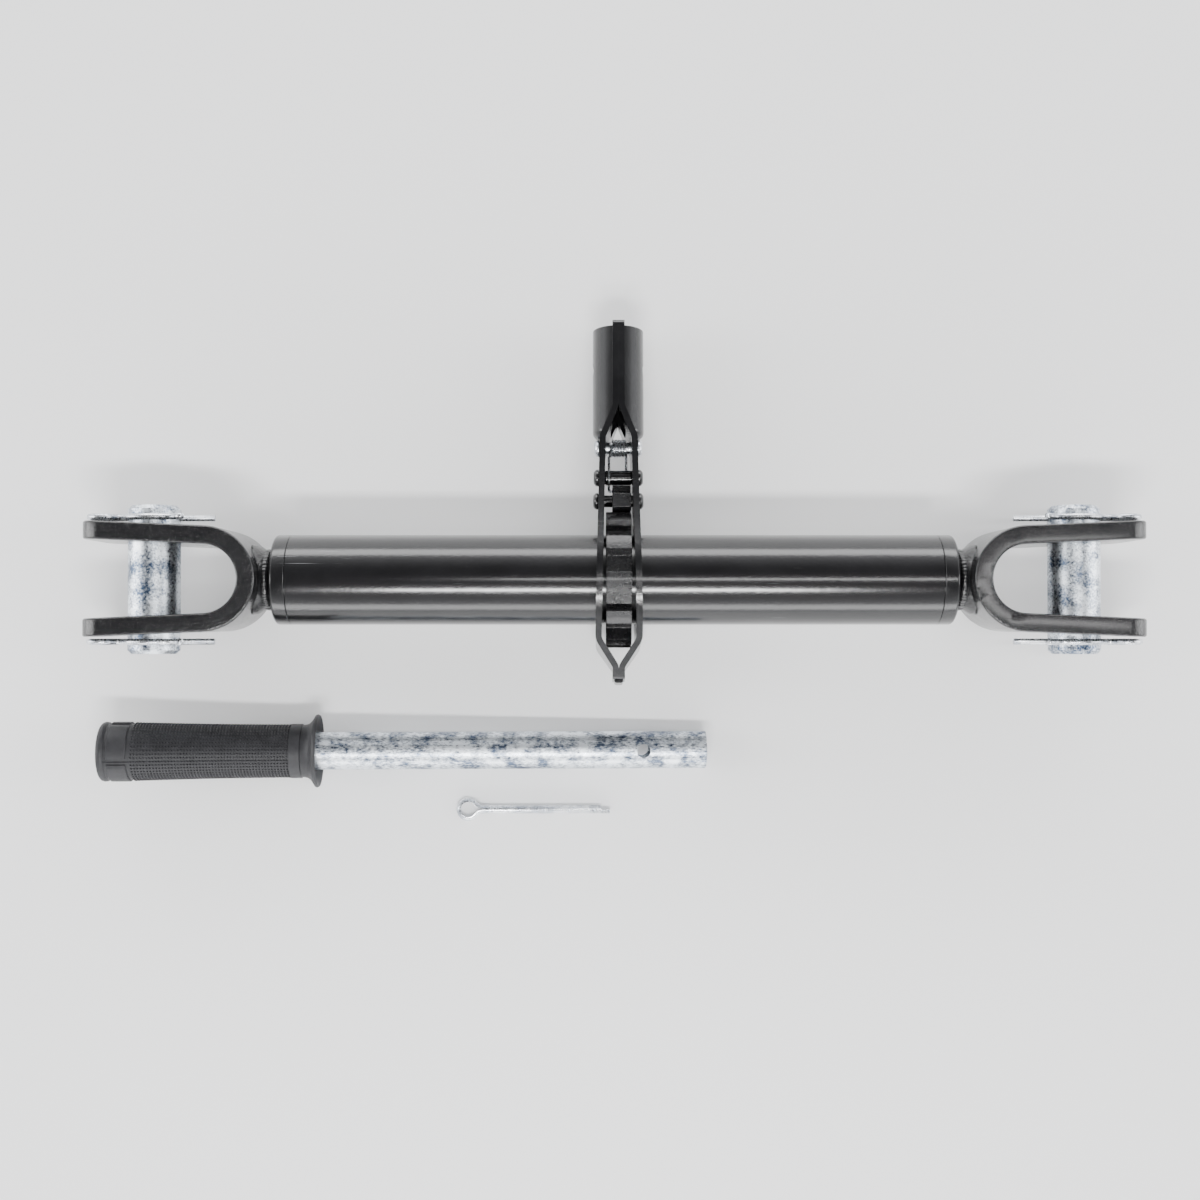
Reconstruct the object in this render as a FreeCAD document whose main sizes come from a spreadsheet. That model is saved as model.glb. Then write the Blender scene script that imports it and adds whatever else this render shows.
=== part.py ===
"""Ratchet top link with a clevis at each end, its loose handle and the handle's cotter pin.

A steel barrel carries a threaded nut at each end. A threaded rod runs in each nut, and a bent strap
clevis with its hitch pin and two hairpin clips is welded to each rod. Turning the barrel moves both
clevises apart. A toothed ring on the barrel sits between the two stamped halves of the ratchet head,
whose rocking pawl engages the teeth on one side or the other. The handle pushes into the head's
tubular socket, and the cotter pin locks it there.

Frame, in millimetres: the origin is the centre of the left clevis pin, +X runs along the barrel,
+Y towards the side the ratchet arm points to and +Z up. The set rests on a floor below it: the arm has
swung down until the corner of its socket flange is level with the bottom of the head's ring.
"""
import FreeCAD, Part

import math
import os
import re

import Sketcher
from FreeCAD import Placement, Rotation, Vector

DOC = FreeCAD.newDocument("ratchet_top_link")
SHEET = DOC.addObject("Spreadsheet::Sheet", "Sizes")

# Driving dimensions: millimetres, degrees and counts.
SIZES = {
    # barrel, end nuts and rods
    "barrel_length": 335,
    "barrel_dia": 44.5,
    "barrel_wall": 5,
    "barrel_bevel": 1.6,
    "nut_length": 40,
    "nut_flange": 7.5,
    "rod_dia": 22.2,
    "rod_gap": 19,  # between the inner ends of the rods, screwed fully in
    "rod_bevel": 2,
    "thread_fit": 0.3,
    # strap clevises
    "strap_thick": 9,
    "strap_width": 50.8,
    "jaw_gap": 36,  # between the ears, at the pin
    "jaw_depth": 46.3,  # from the pin to the inside of the bend
    "ear_tip": 30.2,  # from the pin to the ear's end
    "ear_corner": 10.5,
    "ear_splay": 2.5,  # each ear stands this far open
    "strap_round": 1.2,
    "weld_height": 6.2,
    "weld_length": 5.2,
    "end_gap": 0.6,  # from each weld to the barrel, screwed fully in
    # clevis pins and hairpin clips
    "pin_dia": 25.4,
    "pin_fit": 0.4,
    "pin_stand": 9.7,  # beyond each ear
    "pin_bevel": 1.8,
    "clip_hole_dia": 4,
    "clip_hole_edge": 6,
    "clip_wire": 3,
    "clip_tail": 30,  # of the straight leg beyond the pin's centre
    "clip_eye_reach": 24,
    "clip_eye_radius": 6,
    "clip_neck_radius": 3,
    "clip_seat": 0.3,
    "clip_wrap_angle": 118,  # where the curved leg leaves the pin
    "clip_lip_radius": 7,
    "clip_lip_angle": 75,
    "clip_lip_run": 4,
    # toothed ring
    "gear_offset": 2.1,  # from the middle of the barrel
    "gear_tip_dia": 67.6,
    "gear_root_dia": 55.2,
    "gear_width": 12.5,
    "tooth_count": 11,
    "tooth_width": 7.4,
    # ratchet head; stations run out along the arm from the barrel's axis
    "sheet_thick": 3,
    "ring_dia": 76,
    "ring_fit": 0.5,
    "ring_gap": 16.8,
    "arm_gap": 12.6,
    "tip_end": 50.2,
    "tip_bend": 44,
    "ring_bend": 31.5,
    "arm_bend": 67.4,
    "arm_joint": 83,
    "arm_end": 127,
    "bend_radius": 5,
    "arm_flare_angle": 70,
    "tip_flare_angle": 126,
    "plate_corner": 2.5,
    "socket_dia": 19.7,
    "socket_flange": 10.5,
    "socket_taper": 71.2,
    "socket_full": 72,
    "socket_hole_station": 107.2,
    "socket_round": 3.5,
    "socket_bore_end": 74.4,
    "tip_weld_length": 14,
    "tip_weld_width": 4.4,
    "tip_weld_height": 1.7,
    "tip_weld_round": 1.2,
    # rivets, pawl and spring
    "rivet_dia": 6,
    "rivet_fit": 0.1,
    "rivet_head_dia": 8.4,
    "rivet_head": 2.6,
    "rivet_seat": 0.12,
    "spacer_dia": 7.4,
    "pawl_station": 39.8,
    "spacer_station": 51.7,
    "spring_station": 66.8,
    "pawl_fit": 0.2,
    "pawl_boss": 5.6,
    "pawl_throw_angle": 28,  # each way, from clear of the teeth to engaged
    "pawl_left": 3.0,
    "pawl_right": 6.2,
    "pawl_tail": 7.6,
    "pawl_tail_width": 6.4,
    "pawl_corner": 1,
    "toe_reach": 29.5,
    "toe_neck": 34.8,
    "toe_shoulder": 36.5,
    "toe_start_angle": 10.6,
    "toe_stop_angle": 22.0,
    "spring_wire": 1.25,
    "spring_dia": 7.8,
    "spring_turns": 5.5,
    "spring_pitch": 1.38,
    "spring_start": 3.55,
    "spring_side": 4.7,
    "spring_hook": 4.9,
    "spring_hook_hole": 2.2,
    # handle
    "handle_length": 306,
    "handle_dia": 19.05,
    "handle_wall": 2,
    "handle_hole_dia": 7,
    "handle_hole_edge": 32.2,
    "handle_offset": 86.5,
    "handle_end": 47,
    "grip_length": 109,
    "grip_dia": 29.2,
    "grip_waist": 26.6,
    "grip_cap": 3,
    "grip_bead": 0.5,
    "grip_bead_length": 5.5,
    "grip_collar_length": 13,
    "grip_band_length": 7,
    "flange_dia": 37.2,
    "flange_length": 7,
    "flange_lip": 1.6,
    # cotter pin
    "cotter_wire": 4.1,
    "cotter_length": 79.5,
    "cotter_short": 4.6,
    "cotter_eye_width": 12,
    "cotter_eye_length": 15,
    "cotter_shoulder": 6,
    "cotter_offset": 118.2,
    "cotter_start": 81.5,
}

# Formulas that several pieces share.
LEFT_END = "(jaw_depth + strap_thick + weld_length + end_gap)"
MIDDLE = f"({LEFT_END} + barrel_length / 2)"
RIGHT_END = f"({LEFT_END} + barrel_length)"
PIN_SPAN = f"(2 * {MIDDLE})"
PIN_LENGTH = "(jaw_gap + 2 * strap_thick + 2 * pin_stand)"
BEND_CENTRE = "((jaw_depth - jaw_gap / 2 * cos(ear_splay)) / (1 - sin(ear_splay)))"
BEND_INNER = f"(jaw_depth - {BEND_CENTRE})"
BEND_OUTER = f"({BEND_INNER} + strap_thick)"
LEG_LENGTH = f"(({BEND_CENTRE} + ear_tip + strap_thick) / cos(ear_splay))"
HEAD_X = f"({MIDDLE} + gear_offset)"
FLANGE_HALF = "(socket_dia / 2 + sheet_thick + socket_flange)"
CORNER_OUT = "(arm_end - plate_corner)"
CORNER_DOWN = f"({FLANGE_HALF} - plate_corner)"
ARM_DROOP = (
    f"(asin((ring_dia / 2 - plate_corner) / sqrt({CORNER_OUT} ^ 2 + {CORNER_DOWN} ^ 2))"
    f" - atan({CORNER_DOWN} / {CORNER_OUT}))"
)
GRIP_RIM = "(handle_length - grip_length)"
HANDLE_TILT = f"asin((flange_dia - handle_dia) / 2 / {GRIP_RIM})"


def on_sheet(formula):
    """The same formula, with each size's name pointing at its cell."""
    return re.sub(r"\b([a-z]+(?:_[a-z]+)+)\b", r"Sizes.\1", formula)


def size(alias):
    """A size's value, for the pieces that are shaped in code."""
    return float(SHEET.get(alias))


def bind(thing, **formulas):
    """Tie properties of an object to formulas; two underscores stand for a dot."""
    for name, formula in formulas.items():
        thing.setExpression(name.replace("__", "."), on_sheet(formula))


def put(thing, x="0", y="0", z="0", axis=None, angle="0"):
    """Place a finished piece, turned about an axis through its own origin."""
    if axis:
        thing.Placement = Placement(Vector(), Rotation(axis, 90))
        bind(thing, Placement__Rotation__Angle=angle)
    bind(thing, Placement__Base__x=x, Placement__Base__y=y, Placement__Base__z=z)


# ---------------------------------------------------------------- sketches and features

SKETCH_TURNS = {
    "XY_Plane": Rotation(),
    "XZ_Plane": Rotation(Vector(1, 0, 0), 90),
    "YZ_Plane": Rotation(Vector(0, 1, 0), Vector(0, 0, 1), Vector(1, 0, 0), "ZXY"),
}


def new_body(label):
    body = DOC.addObject("PartDesign::Body", label)
    body.Label = label
    return body


def origin_feature(body, role):
    return next(item for item in body.Origin.OriginFeatures if item.Role == role)


def new_sketch(name, plane, body=None):
    """A sketch on one of the three main planes, in a body or by itself."""
    if body is None:
        sketch = DOC.addObject("Sketcher::SketchObject", name)
        sketch.Placement = Placement(Vector(), SKETCH_TURNS[plane])
        return sketch
    sketch = body.newObject("Sketcher::SketchObject", name)
    sketch.AttachmentSupport = [(origin_feature(body, plane), "")]
    sketch.MapMode = "FlatFace"
    return sketch


def bound_point(sketch, geometry, vertex, place):
    """Hold a vertex at a place given by two formulas."""
    for axis, formula in zip("XY", place):
        number = sketch.addConstraint(Sketcher.Constraint("Distance" + axis, geometry, vertex, 1.0))
        sketch.setExpression(f"Constraints[{number}]", on_sheet(formula))


def circle(sketch, radius, x="0", y="0"):
    """A circle whose centre and radius follow formulas."""
    ring = sketch.addGeometry(Part.Circle(Vector(1, 1, 0), Vector(0, 0, 1), 5), False)
    bound_point(sketch, ring, 3, (x, y))
    number = sketch.addConstraint(Sketcher.Constraint("Radius", ring, 5.0))
    sketch.setExpression(f"Constraints[{number}]", on_sheet(radius))


def outline(sketch, corners, closed=True):
    """Straight runs through corners (x, y), where (x, y, alias) rounds a corner with a tangent arc."""
    marks = []
    for index, corner in enumerate(corners):
        mark = sketch.addGeometry(Part.Point(Vector(index, index * index, 0)), True)
        bound_point(sketch, mark, 1, corner[:2])
        marks.append(mark)
    DOC.recompute()
    spots = [Vector(sketch.Geometry[mark].X, sketch.Geometry[mark].Y, 0) for mark in marks]
    count = len(corners)
    arrive = list(spots)
    leave = list(spots)
    arcs = {}
    for index, corner in enumerate(corners):
        if len(corner) == 2:
            continue
        radius = size(corner[2])
        back = (spots[index - 1] - spots[index]).normalize()
        ahead = (spots[(index + 1) % count] - spots[index]).normalize()
        half_turn = (math.pi - back.getAngle(ahead)) / 2
        arrive[index] = spots[index] + back * radius * math.tan(half_turn)
        leave[index] = spots[index] + ahead * radius * math.tan(half_turn)
        centre = spots[index] + (back + ahead).normalize() * radius / math.cos(half_turn)
        left_turn = (-back).cross(ahead).z > 0
        first, last = (arrive, leave) if left_turn else (leave, arrive)
        angles = []
        for spot in (first[index], last[index]):
            angles.append(math.atan2(spot.y - centre.y, spot.x - centre.x))
        if angles[1] < angles[0]:
            angles[1] += 2 * math.pi
        arc = Part.ArcOfCircle(Part.Circle(centre, Vector(0, 0, 1), radius), *angles)
        arcs[index] = sketch.addGeometry(arc, False), left_turn
        number = sketch.addConstraint(Sketcher.Constraint("Radius", arcs[index][0], radius))
        sketch.setExpression(f"Constraints[{number}]", on_sheet(corner[2]))
    for index in range(count if closed else count - 1):
        follower = (index + 1) % count
        run = sketch.addGeometry(Part.LineSegment(leave[index], arrive[follower]), False)
        for corner, vertex in ((index, 1), (follower, 2)):
            if corner not in arcs:
                sketch.addConstraint(Sketcher.Constraint("Coincident", run, vertex, marks[corner], 1))
                continue
            arc, left_turn = arcs[corner]
            arc_vertex = 2 if (vertex == 1) == left_turn else 1
            sketch.addConstraint(Sketcher.Constraint("Tangent", run, vertex, arc, arc_vertex))
            sketch.addConstraint(Sketcher.Constraint("PointOnObject", marks[corner], 1, run))


def pad(body, sketch, length, symmetric=False):
    feature = body.newObject("PartDesign::Pad", sketch.Name + "_pad")
    feature.Profile = sketch
    feature.SideType = "Symmetric" if symmetric else "One side"
    bind(feature, Length=length)
    return feature


def pocket(body, sketch):
    """Cut a sketch's outline right through the body, both ways."""
    feature = body.newObject("PartDesign::Pocket", sketch.Name + "_pocket")
    feature.Profile = sketch
    feature.Type = "ThroughAll"
    feature.SideType = "Symmetric"
    return feature


def revolve(body, sketch, axis="H_Axis"):
    feature = body.newObject("PartDesign::Revolution", sketch.Name + "_turned")
    feature.Profile = sketch
    feature.ReferenceAxis = (sketch, [axis])
    feature.Angle = 360
    return feature


def turned(label, corners, axis="H_Axis"):
    """A body turned from a half profile: (along, out) about X, or (out, along) about Y."""
    body = new_body(label)
    profile = new_sketch(label + "_profile", "XY_Plane", body)
    outline(profile, corners)
    revolve(body, profile, axis)
    return body


def extrude(sketch, direction, length):
    """A prism of a loose sketch, the same depth both ways."""
    prism = DOC.addObject("Part::Extrusion", sketch.Name + "_prism")
    prism.Base = sketch
    prism.DirMode = "Custom"
    prism.Dir = direction
    prism.Solid = True
    prism.Symmetric = True
    bind(prism, LengthFwd=length)
    return prism


def cylinder(name, radius, height, turn=Rotation(), **places):
    """A cylinder along Z before it is turned."""
    rod = DOC.addObject("Part::Cylinder", name)
    rod.Placement = Placement(Vector(), turn)
    bind(rod, Radius=radius, Height=height)
    for axis, formula in places.items():
        rod.setExpression("Placement.Base." + axis, on_sheet(formula))
    return rod


def combine(kind, name, pieces):
    """A Part boolean: Cut and Common take two pieces, MultiFuse takes any number."""
    result = DOC.addObject("Part::" + kind, name)
    if kind == "MultiFuse":
        result.Shapes = pieces
    else:
        result.Base, result.Tool = pieces
    result.Refine = True
    result.Label = name
    return result


ALONG_X = Rotation(Vector(0, 1, 0), 90)
ALONG_Y = Rotation(Vector(1, 0, 0), -90)


# ---------------------------------------------------------------- barrel


def make_barrel():
    tube = new_body("barrel_tube")
    ring = new_sketch("barrel_ring", "YZ_Plane", tube)
    circle(ring, "barrel_dia / 2")
    circle(ring, "barrel_dia / 2 - barrel_wall")
    pad(tube, ring, "barrel_length - 2 * nut_flange", symmetric=True)
    put(tube, x=MIDDLE)

    nut = [
        ("0", "rod_dia / 2 + thread_fit"),
        ("0", "barrel_dia / 2 - barrel_bevel"),
        ("barrel_bevel", "barrel_dia / 2"),
        ("nut_flange", "barrel_dia / 2"),
        ("nut_flange", "barrel_dia / 2 - barrel_wall"),
        ("nut_length", "barrel_dia / 2 - barrel_wall"),
        ("nut_length", "rod_dia / 2 + thread_fit"),
    ]
    put(turned("left_end_nut", nut), x=LEFT_END)
    put(turned("right_end_nut", nut), x=RIGHT_END, axis=Vector(0, 0, 1), angle="180")


def mirrored(x, y):
    """A tooth flank's point carried over to the next tooth's flank."""
    turn = "360 / tooth_count"
    return (
        f"({x}) * cos({turn}) + ({y}) * sin({turn})",
        f"({x}) * sin({turn}) - ({y}) * cos({turn})",
    )


def make_gear():
    """The toothed ring: a disc with one square-sided gap cut out and repeated round it."""
    gear = new_body("ratchet_gear")
    blank = new_sketch("gear_blank", "YZ_Plane", gear)
    circle(blank, "gear_tip_dia / 2")
    circle(blank, "barrel_dia / 2")
    pad(gear, blank, "gear_width", symmetric=True)
    DOC.recompute()
    floor = "sqrt((gear_root_dia / 2) ^ 2 - (tooth_width / 2) ^ 2)"
    flank = [(floor, "tooth_width / 2"), ("gear_tip_dia / 2 + 1", "tooth_width / 2")]
    gap = new_sketch("gear_gap", "YZ_Plane", gear)
    outline(gap, flank + [mirrored(*flank[1]), mirrored(*flank[0])])
    notch = pocket(gear, gap)
    gaps = gear.newObject("PartDesign::PolarPattern", "gear_gaps")
    gaps.Originals = [notch]
    gaps.Axis = (origin_feature(gear, "X_Axis"), [""])
    gaps.Angle = 360
    bind(gaps, Occurrences="tooth_count")
    gear.Tip = gaps
    put(gear, x=HEAD_X, axis=Vector(1, 0, 0), angle=f"-{ARM_DROOP}")


# ---------------------------------------------------------------- clevis ends


def put_end(piece, side, along="0", across="0"):
    """Place a piece drawn with its clevis pin at the origin and the barrel towards +X."""
    if side == "left":
        put(piece, x=along, y=across)
    else:
        put(piece, x=f"{PIN_SPAN} - ({along})", y=f"-({across})", axis=Vector(0, 0, 1), angle="180")


def make_clevis(side):
    """A flat bar bent round into two ears that stand slightly open, rounded and bored for the pin."""
    name = side + "_clevis"
    half_angle = "(90 - ear_splay)"
    bend = cylinder(name + "_bend", BEND_OUTER, "strap_width", x=BEND_CENTRE, z="-strap_width / 2")
    bend.Placement.Rotation = Rotation(Vector(0, 0, 1), -45)
    bind(bend, Angle="2 * " + half_angle, Placement__Rotation__Angle=f"-{half_angle}")
    legs = []
    sides = (("a", "180 - ear_splay", BEND_OUTER, ""), ("b", "180 + ear_splay", BEND_INNER, "-"))
    for letter, turn, reach, hand in sides:
        leg = DOC.addObject("Part::Box", f"{name}_leg_{letter}")
        leg.Placement = Placement(Vector(), Rotation(Vector(0, 0, 1), 90))
        bind(leg, Length=LEG_LENGTH, Width="strap_thick", Height="strap_width")
        bind(leg, Placement__Rotation__Angle=turn)
        bind(leg, Placement__Base__x=f"{BEND_CENTRE} + {reach} * sin(ear_splay)")
        bind(leg, Placement__Base__y=f"{hand}{reach} * cos(ear_splay)")
        bind(leg, Placement__Base__z="-strap_width / 2")
        legs.append(leg)
    blank = combine("MultiFuse", name + "_blank", [bend] + legs)
    mandrel = cylinder(
        name + "_mandrel", BEND_INNER, "2 * strap_width", x=BEND_CENTRE, z="-strap_width"
    )
    bore = cylinder(
        name + "_bore", "pin_dia / 2 + pin_fit", f"2 * {PIN_LENGTH}", ALONG_Y, y=f"-{PIN_LENGTH}"
    )
    tools = combine("MultiFuse", name + "_tools", [mandrel, bore])
    bored = combine("Cut", name + "_bored", [blank, tools])
    side_view = new_sketch(name + "_side_view", "XZ_Plane")
    reach = f"{BEND_CENTRE} + {BEND_OUTER} + 1"
    outline(side_view, [
        ("-ear_tip", "-strap_width / 2", "ear_corner"),
        (reach, "-strap_width / 2"),
        (reach, "strap_width / 2"),
        ("-ear_tip", "strap_width / 2", "ear_corner"),
    ])
    cutter = extrude(side_view, Vector(0, 1, 0), f"2 * {PIN_LENGTH}")
    trimmed = combine("Common", name + "_trimmed", [bored, cutter])
    DOC.recompute()
    clevis = DOC.addObject("Part::Fillet", name)
    clevis.Base = trimmed
    clevis.Edges = rim_edges(trimmed.Shape)
    clevis.Label = name
    put_end(clevis, side)


def rim_edges(shape):
    """Both outlines of the strap, each edge with its rounding, for Part::Fillet."""
    shortest = 1.05 * size("strap_thick")
    tallest = 0.9 * size("strap_width")
    radius = size("strap_round")
    chosen = []
    for number, edge in enumerate(shape.Edges, 1):
        if edge.Length > shortest and edge.BoundBox.ZLength < tallest and not edge.isClosed():
            chosen.append((number, radius, radius))
    return chosen


def make_rod(side):
    """The screw's plain core, coped to the back of the strap, and its fillet weld."""
    inner = f"({MIDDLE} - rod_gap / 2)"
    rod = turned(side + "_rod", [
        (BEND_CENTRE, "0"),
        (BEND_CENTRE, "rod_dia / 2"),
        (f"{inner} - rod_bevel", "rod_dia / 2"),
        (inner, "rod_dia / 2 - rod_bevel"),
        (inner, "0"),
    ])
    strap_back = f"({BEND_CENTRE} + {BEND_OUTER})"
    weld = turned(side + "_weld", [
        (BEND_CENTRE, "rod_dia / 2"),
        (BEND_CENTRE, "rod_dia / 2 + weld_height"),
        (f"{strap_back} - 3", "rod_dia / 2 + weld_height"),
        (f"{strap_back} + weld_length - 1.2", "rod_dia / 2 + 1.6"),
        (f"{strap_back} + weld_length", "rod_dia / 2"),
    ])
    for piece in (rod, weld):
        cope = new_sketch(piece.Label + "_cope", "XY_Plane", piece)
        circle(cope, BEND_OUTER, x=BEND_CENTRE)
        pocket(piece, cope)
        put_end(piece, side)


def make_pin(side):
    """A plain bar with bevelled ends and a cross hole for a clip near each end."""
    pin = turned(side + "_clevis_pin", [
        ("0", f"-{PIN_LENGTH} / 2"),
        ("pin_dia / 2 - pin_bevel", f"-{PIN_LENGTH} / 2"),
        ("pin_dia / 2", f"-{PIN_LENGTH} / 2 + pin_bevel"),
        ("pin_dia / 2", f"{PIN_LENGTH} / 2 - pin_bevel"),
        ("pin_dia / 2 - pin_bevel", f"{PIN_LENGTH} / 2"),
        ("0", f"{PIN_LENGTH} / 2"),
    ], axis="V_Axis")
    for hand in ("", "-"):
        hole = new_sketch(f"{pin.Label}_hole_{'b' if hand else 'a'}", "YZ_Plane", pin)
        circle(hole, "clip_hole_dia / 2", x=f"{hand}({PIN_LENGTH} / 2 - clip_hole_edge)")
        pocket(pin, hole)
    put_end(pin, side)


def arc_edge(centre, radius, start, stop):
    """An arc in the XZ plane between two angles in degrees, drawn in the order they are given."""
    spots = []
    for angle in (start, (start + stop) / 2, stop):
        turn = math.radians(angle)
        spots.append(centre + Vector(math.cos(turn), 0, math.sin(turn)) * radius)
    return Part.Arc(*spots).toShape()


def round_wire(edges, diameter):
    """Sweep round wire along a chain of tangent edges."""
    path = Part.Wire(edges)
    start = edges[0].valueAt(edges[0].FirstParameter)
    heading = edges[0].tangentAt(edges[0].FirstParameter)
    section = Part.Wire(Part.Circle(start, heading, diameter / 2).toShape())
    return path.makePipeShell([section], True, False)


def clip_shape():
    """Hairpin clip: a straight leg through the pin, an eye, and a leg that curls over the pin."""
    seat = (size("pin_dia") + size("clip_wire")) / 2 + size("clip_seat")
    eye = size("clip_eye_radius")
    neck = size("clip_neck_radius")
    eye_centre = Vector(size("clip_eye_reach"), 0, eye)
    # the neck's arc touches both the eye and the circle that lies over the pin
    span = eye_centre.Length
    along = ((seat + neck) ** 2 - (eye + neck) ** 2 + span ** 2) / (2 * span)
    rise = math.sqrt((seat + neck) ** 2 - along ** 2)
    ahead = eye_centre / span
    neck_centre = ahead * along + Vector(-ahead.z, 0, ahead.x) * rise
    from_eye = neck_centre - eye_centre
    leave_eye = math.degrees(math.atan2(from_eye.z, from_eye.x))
    meet_pin = math.degrees(math.atan2(neck_centre.z, neck_centre.x))
    wrap = size("clip_wrap_angle")
    lip = size("clip_lip_radius")
    away = Vector(math.cos(math.radians(wrap)), 0, math.sin(math.radians(wrap)))
    lip_centre = away * (seat + lip)
    lip_end = wrap + 180 - size("clip_lip_angle")
    lip_edge = arc_edge(lip_centre, lip, wrap + 180, lip_end)
    tip = lip_edge.valueAt(lip_edge.LastParameter)
    turn = math.radians(lip_end)
    heading = Vector(math.sin(turn), 0, -math.cos(turn))
    edges = [
        Part.makeLine(Vector(-size("clip_tail"), 0, 0), Vector(eye_centre.x, 0, 0)),
        arc_edge(eye_centre, eye, -90, leave_eye),
        arc_edge(neck_centre, neck, leave_eye + 180, meet_pin + 180),
        arc_edge(Vector(), seat, meet_pin, wrap),
        lip_edge,
        Part.makeLine(tip, tip + heading * size("clip_lip_run")),
    ]
    return round_wire(edges, size("clip_wire"))


def make_clips(side):
    """The two clips of one pin, their eyes away from the barrel."""
    for level, hand in (("upper", ""), ("lower", "-")):
        clip = DOC.addObject("Part::Feature", f"{side}_{level}_clip")
        clip.Label = f"{side}_{level}_clip"
        clip.Shape = clip_shape()
        across = f"{hand}({PIN_LENGTH} / 2 - clip_hole_edge)"
        if side == "left":
            put(clip, y=across, axis=Vector(0, 0, 1), angle="180")
        else:
            put(clip, x=PIN_SPAN, y=across)


# ---------------------------------------------------------------- ratchet head


def put_on_head(piece, station="0"):
    """Place a piece at a station along the drooping arm."""
    put(
        piece,
        x=HEAD_X,
        y=f"({station}) * cos{ARM_DROOP}",
        z=f"-({station}) * sin{ARM_DROOP}",
        axis=Vector(1, 0, 0),
        angle=f"-{ARM_DROOP}",
    )


def head_side_view():
    """The stamping seen from the side: a ring with a flared arm and a tapered tip."""
    disc = cylinder("head_disc", "ring_dia / 2", "4 * ring_gap", ALONG_X, x="-2 * ring_gap")
    arm = [(f"(ring_dia / 2 - {FLANGE_HALF} * sin(arm_flare_angle)) / cos(arm_flare_angle)", FLANGE_HALF)]
    tip_half = "(ring_dia / 2 + tip_end * cos(tip_flare_angle)) / sin(tip_flare_angle)"
    tip = [("-tip_end", tip_half, "plate_corner")]
    flares = []
    for flare in ("tip_flare_angle", "arm_flare_angle"):
        flares.append((f"ring_dia / 2 * cos({flare})", f"ring_dia / 2 * sin({flare})"))
    upper = tip + flares + arm + [("arm_end", FLANGE_HALF, "plate_corner")]
    lower = [(corner[0], f"-({corner[1]})") + corner[2:] for corner in reversed(upper)]
    view = new_sketch("head_side_view", "YZ_Plane")
    outline(view, upper + lower)
    blank = extrude(view, Vector(1, 0, 0), "4 * ring_gap")
    return combine("MultiFuse", "head_blank", [disc, blank])


def head_holes():
    """Everything bored through both halves: barrel, rivets, cross hole and the handle's socket."""
    holes = {
        "barrel_hole": ("barrel_dia / 2 + ring_fit", "0"),
        "pawl_hole": ("rivet_dia / 2 + rivet_fit", "pawl_station"),
        "spacer_hole": ("rivet_dia / 2 + rivet_fit", "spacer_station"),
        "spring_hole": ("rivet_dia / 2 + rivet_fit", "spring_station"),
        "cross_hole": ("handle_hole_dia / 2", "socket_hole_station"),
    }
    tools = []
    for name, (radius, station) in holes.items():
        tools.append(cylinder(name, radius, "4 * ring_gap", ALONG_X, x="-2 * ring_gap", y=station))
    bore = new_sketch("socket_bore", "XY_Plane")
    outline(bore, [
        ("0", "socket_bore_end - 0.8"),
        ("arm_gap / 2 - 0.8", "socket_bore_end - 0.8"),
        ("socket_dia / 2", "socket_bore_end"),
        ("socket_dia / 2", "arm_end + 1"),
        ("0", "arm_end + 1"),
    ])
    return combine("MultiFuse", "head_holes", tools + [revolve_loose(bore)])


def revolve_loose(sketch):
    """A loose sketch turned a full circle about Y."""
    solid = DOC.addObject("Part::Revolution", sketch.Name + "_turned")
    solid.Source = sketch
    solid.Axis = Vector(0, 1, 0)
    solid.Base = Vector(0, 0, 0)
    solid.Angle = 360
    solid.Solid = True
    return solid


def make_head_halves():
    """Bent sheet trimmed to the side view, with half of the socket's tube, and its mirror image."""
    inner = [
        ("0", "-tip_end - 1"),
        ("0", "-tip_bend", "bend_radius"),
        ("-ring_gap / 2", "-ring_bend", "bend_radius"),
        ("-arm_gap / 2", "arm_bend", "bend_radius"),
        ("0", "arm_joint", "bend_radius"),
        ("0", "arm_end + 1"),
    ]
    fold = new_sketch("head_fold", "XY_Plane")
    outline(fold, inner, closed=False)
    sheet = DOC.addObject("Part::Offset2D", "head_sheet")
    sheet.Source = fold
    sheet.Mode = "Skin"
    sheet.Join = "Intersection"
    sheet.Fill = True
    bind(sheet, Value="-sheet_thick")
    bar = extrude(sheet, Vector(0, 0, 1), "2 * ring_dia")
    plate = combine("Common", "head_plate", [bar, head_side_view()])

    room = new_sketch("head_room", "XY_Plane")
    outline(room, inner + [("-ring_dia / 2", "arm_end + 1"), ("-ring_dia / 2", "-tip_end - 1")])
    outside = extrude(room, Vector(0, 0, 1), "2 * ring_dia")
    tube = new_sketch("head_tube", "XY_Plane")
    outline(tube, [
        ("0", "socket_taper"),
        ("arm_gap / 2 + 2.2", "socket_taper"),
        ("socket_dia / 2 + sheet_thick", "socket_full", "socket_round"),
        ("socket_dia / 2 + sheet_thick", "arm_end"),
        ("0", "arm_end"),
    ])
    swell = combine("Common", "head_swell", [revolve_loose(tube), outside])
    whole = combine("MultiFuse", "head_whole", [plate, swell])
    mirror = DOC.addObject("Part::Mirroring", "head_mirror")
    mirror.Source = whole
    mirror.Normal = Vector(1, 0, 0)
    holes = head_holes()
    for name, solid in (("head_half_left", whole), ("head_half_right", mirror)):
        put_on_head(combine("Cut", name, [solid, holes]))


def outer_face(station):
    """Distance from the head's mid-plane to a plate's outer face, where a rivet head seats."""
    return (
        f"(arm_gap / 2 + (ring_gap - arm_gap) / 2 * (arm_bend - ({station})) / (arm_bend + ring_bend)"
        " + sheet_thick + rivet_seat)"
    )


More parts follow.
